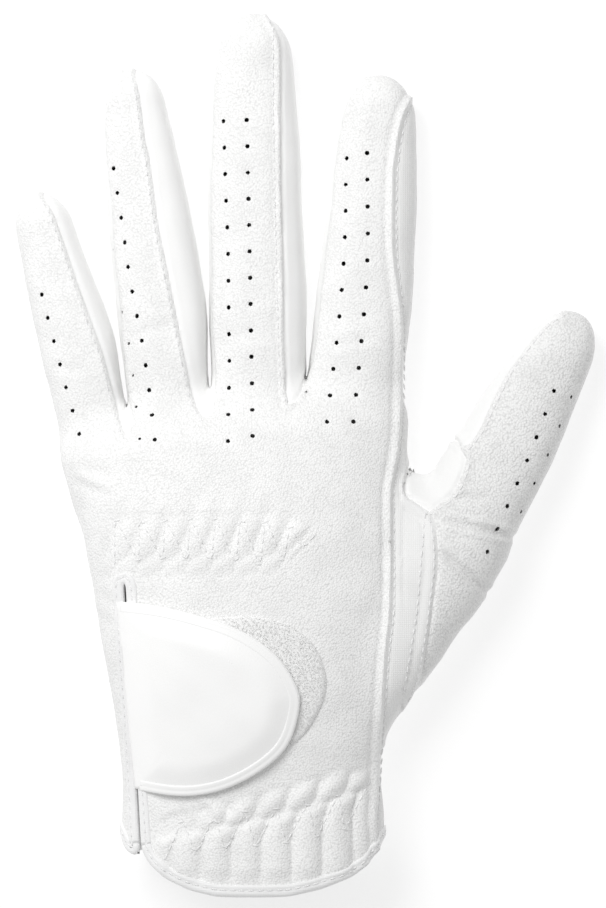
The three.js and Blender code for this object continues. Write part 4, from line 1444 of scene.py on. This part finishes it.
class Binding:
    """The tape folded over the cuff's edge and the slit's."""

    WIDE = 2.7
    # across the tape: how far in from the edge, and how far above the skin
    SECTION = (
        (2.7, -0.15), (2.6, 0.3), (2.2, 0.5), (1.75, 0.5), (1.35, 0.34), (0.95, 0.5), (0.3, 0.55), (-0.25, 0.3),
        (-0.5, -0.3), (-0.4, -0.95), (0.1, -1.3), (1.4, -1.35), (2.5, -1.3), (2.6, -0.9),
    )  # fmt: skip
    STITCH_AT = (1.35, 0.36)

    def __init__(self, bench: Bench, stitching: Stitching) -> None:
        """Keeps the bench and the thread."""
        self.bench, self.skin, self.stitching = bench, bench.skin, stitching

    def edge(self) -> Array:
        """The cuff's edge as one closed line."""
        tris = self.skin.tris
        m = len(self.skin.points)
        edges = np.vstack([tris[:, [0, 1]], tris[:, [1, 2]], tris[:, [2, 0]]])
        key, back = edges[:, 0] * m + edges[:, 1], edges[:, 1] * m + edges[:, 0]
        follow = dict(edges[~np.isin(key, back)].tolist())
        loops = []
        while follow:
            start, at = follow.popitem()
            loop = [start]
            while at != start and at in follow:
                loop.append(at)
                at = follow.pop(at)
            loops.append(loop)
        longest = max(loops, key=len)
        line = self.skin.points[longest]
        for _ in range(4):
            line = (np.roll(line, 1, axis=0) + 2 * line + np.roll(line, -1, axis=0)) / 4
        closed = np.vstack([line, line[:1]])
        return resampled(closed, 1.0)[:-1]

    def build(self) -> None:
        """Sweeps the tape along the edge, and sews it."""
        line = self.edge()
        for _ in range(2):
            line = (np.roll(line, 1, axis=0) + 2 * line + np.roll(line, -1, axis=0)) / 4
        along = np.roll(line, -1, axis=0) - np.roll(line, 1, axis=0)
        along /= np.linalg.norm(along, axis=1, keepdims=True)
        way = np.array([self.skin.tree.find_nearest(Vector(p))[1] for p in line])
        for _ in range(3):
            way = (np.roll(way, 1, axis=0) + 2 * way + np.roll(way, -1, axis=0)) / 4
        way -= along * (way * along).sum(axis=1, keepdims=True)
        way /= np.linalg.norm(way, axis=1, keepdims=True)
        inward = np.cross(way, along)
        a, b = (np.array(p) for p in Lines.SLIT)
        t = (line[:, :2] - a) @ (b - a) / ((b - a) @ (b - a))
        gap = np.hypot(*(line[:, :2] - a - t[:, None] * (b - a)).T)
        by_slit = (gap < 2.2) & (line[:, 2] > 14) & (line[:, 1] > -101)
        first = int(np.flatnonzero(by_slit & ~np.roll(by_slit, 1))[0])
        order = np.roll(np.arange(len(line)), -first)
        count = int(by_slit.sum())
        for node, run in (("slit_binding", order[: count + 1]), ("cuff_binding", np.r_[order[count:], order[:1]])):
            rows = np.stack([self._across(line[i], way[i], inward[i]) for i in run])
            piece = self.bench.grid(node + "_tape", rows, ("tape_white",))
            self.bench.dress(piece, Zone.HAND, "hand", node, "binding_tape")
        deep, rise = self.STITCH_AT
        sewn = np.stack([self._on_skin(line[i] + inward[i] * deep, way[i], rise) for i in order])
        self.stitching.add(sewn, way[order], (Zone.HAND, "hand"))

    def _on_skin(self, point: Array, way: Array, rise: float) -> Array:
        """A point moved to a height above the skin."""
        hit, normal, _, _ = self.skin.tree.find_nearest(Vector(point))
        return np.array(hit) + (0.7 * way + 0.3 * np.array(normal)) * rise

    def _across(self, point: Array, way: Array, inward: Array) -> Array:
        """The tape's section at one point of the edge."""
        out = []
        for deep, rise in self.SECTION:
            if deep > 0.2:
                out.append(self._on_skin(point + inward * deep, way, rise))
            else:
                out.append(point + inward * deep + way * rise)
        return np.array(out)


@dataclass
class ClosureTab:
    """The hook-and-loop tab over the slit."""

    # across the edge tape: how far in from the edge, and how far above the leather
    SECTION = (
        (2.4, -0.1), (2.3, 0.12), (1.9, 0.2), (1.2, 0.2), (0.95, 0.1), (0.7, 0.2), (0.1, 0.1), (-0.3, -0.25),
        (-0.35, -0.75), (-0.1, -1.25), (0.6, -1.4), (2.2, -1.3), (2.3, -0.9),
    )  # fmt: skip
    bench: Bench
    lift: float = 2.3
    crown: float = 1.5
    crown_width: float = 8.0
    thick: float = 1.1
    rings: int = 26
    step: float = 1.1

    def __post_init__(self) -> None:
        """Rounds the outline."""
        points = Lines.TAB
        left = np.linspace(points[-1], points[0], 6)[1:-1]
        curve = rounded_line(points, 5)
        self.outline = Outline(np.vstack([curve, left]), 1)
        self.middle = np.array([-27.0, -63.0])

    def height(self, xy: Array) -> Array:
        """The height of the tab's upper face."""
        depth = np.maximum(-self.outline.distance(xy)[0], 0)
        top, bottom = np.array(Lines.TAB[0]), np.array(Lines.TAB[-1])
        run = (top - bottom) / np.linalg.norm(top - bottom)
        off = (xy - bottom) @ np.array([run[1], -run[0]])
        held = ramp(off, 0.0, 7.0)
        ripple = 0.16 * np.sin(xy[:, 0] / 6.0 + 1.4 * np.sin(xy[:, 1] / 7.0)) * np.sin(xy[:, 1] / 8.0 + 0.6)
        ripple += 0.05 * np.sin(xy[:, 0] / 2.1 + xy[:, 1] / 3.3) * np.sin(xy[:, 1] / 2.7)
        return self.bench.hand.top_height(xy) + 0.9 + (self.lift - 0.9) * held + (self.crown + ripple) * ramp(
            depth, 0.0, self.crown_width
        )

    def build(self) -> None:
        """Makes the leather, the hook pad and the tape on the free edge."""
        rim = resampled(np.vstack([self.outline.line, self.outline.line[:1]]), self.step)[:-1]
        n = len(rim)
        shares = np.linspace(0, 1, self.rings + 1)[1:]
        flat = np.vstack([self.middle[None]] + [self.middle + share * (rim - self.middle) for share in shares])
        top = np.column_stack([flat, self.height(flat)])
        bottom = top - (0, 0, self.thick)
        i = np.arange(n)
        j = (i + 1) % n
        faces = [np.stack([0 * i, 1 + i, 1 + j], axis=1)]
        for k in range(self.rings - 1):
            a, b, c, d = 1 + k * n + i, 1 + (k + 1) * n + i, 1 + (k + 1) * n + j, 1 + k * n + j
            faces += [np.stack([a, b, c], axis=1), np.stack([a, c, d], axis=1)]
        upper = np.vstack(faces)
        turn = np.cross(top[upper[0, 1]] - top[0], top[upper[0, 2]] - top[0])[2]
        upper = upper if turn > 0 else upper[:, ::-1]
        m = len(top)
        outer = 1 + (self.rings - 1) * n
        p, q = (outer + i, outer + j) if turn > 0 else (outer + j, outer + i)
        rim_faces = np.vstack([np.stack([q, p, p + m], axis=1), np.stack([q, p + m, q + m], axis=1)])
        points = np.vstack([top, bottom])
        all_faces = np.vstack([upper, upper[:, ::-1] + m, rim_faces])
        # the tab takes the brighter copy of the smooth leather, whose higher albedo is painted light
        leather = self.bench.object("tab_leather_padded", points, all_faces, ("tab_leather_white",))
        self.bench.dress(leather, Zone.HAND, "tab", "tab_leather", "smooth_leather")
        share = 0.86
        pad_top = bottom.copy()
        pad_top[:, :2] = self.middle + share * (pad_top[:, :2] - self.middle)
        pad_top[:, 2] = self.height(pad_top[:, :2]) - self.thick + 0.02
        pad = self.bench.object(
            "hook_pad_tape", np.vstack([pad_top, pad_top - (0, 0, 0.55)]), all_faces, ("hook_tape_white",)
        )
        self.bench.dress(pad, Zone.HAND, "tab", "hook_pad", "hook_tape")
        self._bind(rim, n)

    def _bind(self, rim: Array, n: int) -> None:
        """Folds the tape over the tab's free edge."""
        along = np.roll(rim, -1, axis=0) - np.roll(rim, 1, axis=0)
        along /= np.linalg.norm(along, axis=1, keepdims=True)
        inward = np.column_stack([-along[:, 1], along[:, 0]])
        if ((self.middle - rim[0]) @ inward[0]) < 0:
            inward = -inward
        top, bottom = np.array(Lines.TAB[0]), np.array(Lines.TAB[-1])
        run = (top - bottom) / np.linalg.norm(top - bottom)
        free = (rim - bottom) @ np.array([run[1], -run[0]]) > 0.4
        start = int(np.flatnonzero(free & ~np.roll(free, 1))[0])
        order = np.roll(np.arange(n), -start)[: int(free.sum())]
        rows = []
        for i in order:
            section = []
            lower = float(ramp(-rim[i, 1:], 66.0, 76.0)[0])
            for deep, rise in self.SECTION:
                if rise > 0:
                    rise *= 0.2 + 0.8 * lower  # flush on the rolled upper edge, raised along the lower one
                xy = rim[i] + inward[i] * deep
                z = self.height(xy[None])[0] if deep > 0 else self.height(rim[i][None])[0]
                section.append((*xy, z + rise - (0.25 if rise < -0.5 else 0)))
            rows.append(section)
        piece = self.bench.grid("tab_binding_tape", np.array(rows), ("tab_leather_white",))
        self.bench.dress(piece, Zone.HAND, "tab", "tab_binding", "binding_tape")


@dataclass
class LoopPad:
    """The brushed loop patch that the tab holds on to."""

    bench: Bench
    thick: float = 0.7
    step: float = 1.0
    rings: int = 24
    density: float = 3.6  # loops on a square millimetre
    seed: int = 7

    def build(self) -> None:
        """Makes the woven patch, then grows its loops."""
        rim = resampled(rounded_line(Lines.LOOP_PAD, 4, closed=True), self.step)
        middle = np.array([-22.0, -61.5])
        n = len(rim)
        shares = np.linspace(0, 1, self.rings + 1)[1:]
        flat = np.vstack([middle[None]] + [middle + share * (rim - middle) for share in shares])
        edge = np.r_[0, np.repeat(shares, n)]
        z = self.bench.hand.top_height(flat) + self.thick * (1 - ramp(edge, 0.94, 1.0) * 0.6)
        top = np.column_stack([flat, z])
        i = np.arange(n)
        j = (i + 1) % n
        faces = [np.stack([0 * i, 1 + j, 1 + i], axis=1)]
        for k in range(self.rings - 1):
            a, b, c, d = 1 + k * n + i, 1 + (k + 1) * n + i, 1 + (k + 1) * n + j, 1 + k * n + j
            faces += [np.stack([a, c, b], axis=1), np.stack([a, d, c], axis=1)]
        upper = np.vstack(faces)
        m, outer = len(top), 1 + (self.rings - 1) * n
        rim_faces = np.vstack([
            np.stack([outer + i, outer + j, outer + j + m], axis=1),
            np.stack([outer + i, outer + j + m, outer + i + m], axis=1),
        ])  # fmt: skip
        bottom = top - (0, 0, self.thick + 0.5)
        points = np.vstack([top, bottom])
        faces_all = np.vstack([upper, upper[:, ::-1] + m, rim_faces])
        pad = self.bench.object("loop_pad_base", points, faces_all, ("loop_pile_grey",))
        self.bench.dress(pad, Zone.HAND, "hand", "loop_pad", "loop_pile")
        holder = self.bench.object("loop_pad_holder", top, upper, ("loop_pile_grey",))
        sizes = {"Density": self.density / MM**2, "Loop": 0.26 * MM, "Thread": 0.05 * MM}
        loops = grown(holder, self._tree(), "loop_pad_loops", sizes)
        self.bench.dress(loops, Zone.HAND, "hand", "", "loop_pile")

    def _tree(self) -> bpy.types.NodeTree:
        """Small loops of thread scattered over the faces that come in."""
        tree = new_tree("loop_pile", (("Density", 2e6), ("Loop", 0.0004), ("Thread", 0.00006)))
        source, target = tree.nodes["Group Input"], tree.nodes["Group Output"]
        spread = tree.nodes.new("GeometryNodeDistributePointsOnFaces")
        spread.inputs["Seed"].default_value = self.seed
        arc = tree.nodes.new("GeometryNodeCurveArc")
        arc.inputs["Resolution"].default_value = 5
        arc.inputs["Start Angle"].default_value = 0.0
        arc.inputs["Sweep Angle"].default_value = math.radians(200)
        stand = tree.nodes.new("GeometryNodeTransform")
        stand.inputs["Rotation"].default_value = (math.radians(90), 0, 0)
        round_ = tree.nodes.new("GeometryNodeCurvePrimitiveCircle")
        round_.inputs["Resolution"].default_value = 3
        tube = tree.nodes.new("GeometryNodeCurveToMesh")
        put = tree.nodes.new("GeometryNodeInstanceOnPoints")
        turn = tree.nodes.new("FunctionNodeRandomValue")
        turn.data_type = "FLOAT_VECTOR"
        turn.inputs["Min"].default_value = (-0.7, -0.7, 0.0)
        turn.inputs["Max"].default_value = (0.7, 0.7, 6.28)
        turn.inputs["Seed"].default_value = self.seed
        real = tree.nodes.new("GeometryNodeRealizeInstances")
        coat = tree.nodes.new("GeometryNodeSetMaterial")
        coat.inputs["Material"].default_value = self.bench.materials["loop_pile_grey"]
        link = tree.links.new
        link(source.outputs["Geometry"], spread.inputs["Mesh"])
        link(source.outputs["Density"], spread.inputs["Density"])
        link(source.outputs["Loop"], arc.inputs["Radius"])
        link(arc.outputs["Curve"], stand.inputs["Geometry"])
        link(source.outputs["Thread"], round_.inputs["Radius"])
        link(stand.outputs["Geometry"], tube.inputs["Curve"])
        link(round_.outputs["Curve"], tube.inputs["Profile Curve"])
        link(spread.outputs["Points"], put.inputs["Points"])
        link(tube.outputs["Mesh"], put.inputs["Instance"])
        link(turn.outputs["Value"], put.inputs["Rotation"])
        link(put.outputs["Instances"], real.inputs["Geometry"])
        link(real.outputs["Geometry"], coat.inputs["Geometry"])
        link(coat.outputs["Geometry"], target.inputs["Geometry"])
        return tree


class Gathers:
    """The elastic under the gathers, and the zigzag thread on them."""

    KNUCKLE_TOP = ((-52.5, -16.9), (-44.1, -17.0), (-37.8, -17.0), (-25.1, -17.0), (-12.3, -17.0), (-5.6, -18.6), (1.4, -22.2))
    KNUCKLE_LOW = ((-49.3, -28.4), (-39.0, -28.2), (-26.4, -28.2), (-14.2, -29.2), (-7.4, -29.2), (1.4, -22.8))
    WRIST_TOP = ((-36.0, -94.5), (-26.0, -94.0), (-15.5, -92.0), (0.0, -90.2), (8.0, -88.0), (16.0, -85.5))
    WRIST_LOW = ((-36.0, -104.0), (-24.3, -102.5), (-9.0, -101.0), (2.0, -99.5), (13.4, -96.2))

    def __init__(self, bench: Bench, stitching: Stitching) -> None:
        """Keeps the bench and the thread."""
        self.bench, self.skin, self.stitching = bench, bench.skin, stitching

    def build(self) -> None:
        """Makes both elastics and both rows of zigzag thread."""
        for node, low, top, period in (
            ("knuckle_elastic", self.KNUCKLE_LOW, self.KNUCKLE_TOP, 3.15),
            ("wrist_elastic", self.WRIST_LOW, self.WRIST_TOP, 3.9),
        ):
            upper, lower = (rounded_line(line, 6) for line in (top, low))
            self._elastic(node, upper, lower)
            self._zigzag(upper, lower, period)

    def _elastic(self, node: str, upper: Array, lower: Array) -> None:
        """A flat strip between two lines, just inside the leather."""
        count = 60
        one, two = (resampled(line, np.linalg.norm(np.diff(line, axis=0), axis=1).sum() / (count - 1))[:count] for line in (upper, lower))
        size = min(len(one), len(two))
        rows = []
        for a, b in zip(one[:size], two[:size]):
            flat = a + np.linspace(0.08, 0.92, 5)[:, None] * (b - a)
            z = self.bench.hand.top_height(flat) - 2.2
            ring = np.column_stack([flat, z])
            rows.append(np.vstack([ring, ring[::-1] - (0, 0, 0.7)]))
        piece = self.bench.grid(node + "_strip", np.array(rows), ("elastic_white",))
        self.bench.dress(piece, Zone.HAND, "hand", node, "elastic")

    def _zigzag(self, upper: Array, lower: Array, half: float) -> None:
        """Thread that runs up and down between two lines."""
        run = np.linalg.norm(np.diff(upper, axis=0), axis=1).sum()
        turns = int(run / half)
        one = resampled(upper, run / turns)
        two = resampled(lower, np.linalg.norm(np.diff(lower, axis=0), axis=1).sum() / turns)
        corners = [one[k] if k % 2 else two[k] for k in range(min(len(one), len(two)))]
        points, way = self.skin.on_top(resampled(np.array(corners), 0.8))
        self.stitching.add(points, way, (Zone.HAND, "hand"))


@dataclass
class Studio:
    """The floor, the light and the camera."""

    frame_height: float = 0.2361
    lens: float = 200.0
    sensor: float = 36.0
    level: float = 0.012
    centre: tuple[float, float] = (-0.00152, -0.00032)
    key_power: float = 3.35
    sky: float = 0.5

    def build(self) -> None:
        """Sets up everything that isn't the glove."""
        scene = bpy.context.scene
        scene.view_settings.view_transform = "Standard"
        camera = bpy.data.cameras.new("camera")
        camera.lens, camera.sensor_width = self.lens, self.sensor
        holder = bpy.data.objects.new("camera", camera)
        away = self.frame_height * self.lens / self.sensor
        holder.location = (*self.centre, self.level + away)
        scene.collection.objects.link(holder)
        scene.camera = holder
        world = bpy.data.worlds.new("white_room")
        world.use_nodes = True
        world.node_tree.nodes["Background"].inputs["Color"].default_value = (1, 1, 1, 1)
        world.node_tree.nodes["Background"].inputs["Strength"].default_value = self.sky
        scene.world = world
        self._lamp("key", (-0.27, 0.33, 0.6), 0.4, self.key_power)
        mesh = bpy.data.meshes.new("floor")
        mesh.from_pydata([(-3, -3, 0), (3, -3, 0), (3, 3, 0), (-3, 3, 0)], [], [(0, 1, 2, 3)])
        material = bpy.data.materials.new("floor_white")
        material.use_nodes = True
        shader = material.node_tree.nodes["Principled BSDF"]
        shader.inputs["Base Color"].default_value = (0.4, 0.4, 0.4, 1)
        shader.inputs["Roughness"].default_value = 0.9
        shader.inputs["Emission Color"].default_value = (1, 1, 1, 1)
        shader.inputs["Emission Strength"].default_value = 0.68
        mesh.materials.append(material)
        floor = bpy.data.objects.new("floor", mesh)
        scene.collection.objects.link(floor)

    @staticmethod
    def _lamp(name: str, place: tuple[float, float, float], size: float, power: float) -> None:
        """A square lamp that faces the middle of the glove."""
        lamp = bpy.data.lights.new(name, "AREA")
        lamp.size, lamp.energy = size, power
        holder = bpy.data.objects.new(name, lamp)
        holder.location = place
        holder.rotation_euler = (-Vector(place)).to_track_quat("-Z", "Y").to_euler()
        bpy.context.scene.collection.objects.link(holder)


def main() -> None:
    """Builds the glove."""
    logging.basicConfig(level=logging.INFO, format="%(name)s: %(message)s")
    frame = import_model()
    Studio().build()
    bench = Bench(frame, GloveSkin(Hand()))
    Shell(bench).build()
    stitching = Stitching(bench)
    stitching.pattern()
    Binding(bench, stitching).build()
    ClosureTab(bench).build()
    LoopPad(bench).build()
    Gathers(bench, stitching).build()
    stitching.build()
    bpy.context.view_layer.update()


if __name__ == "__main__":
    main()
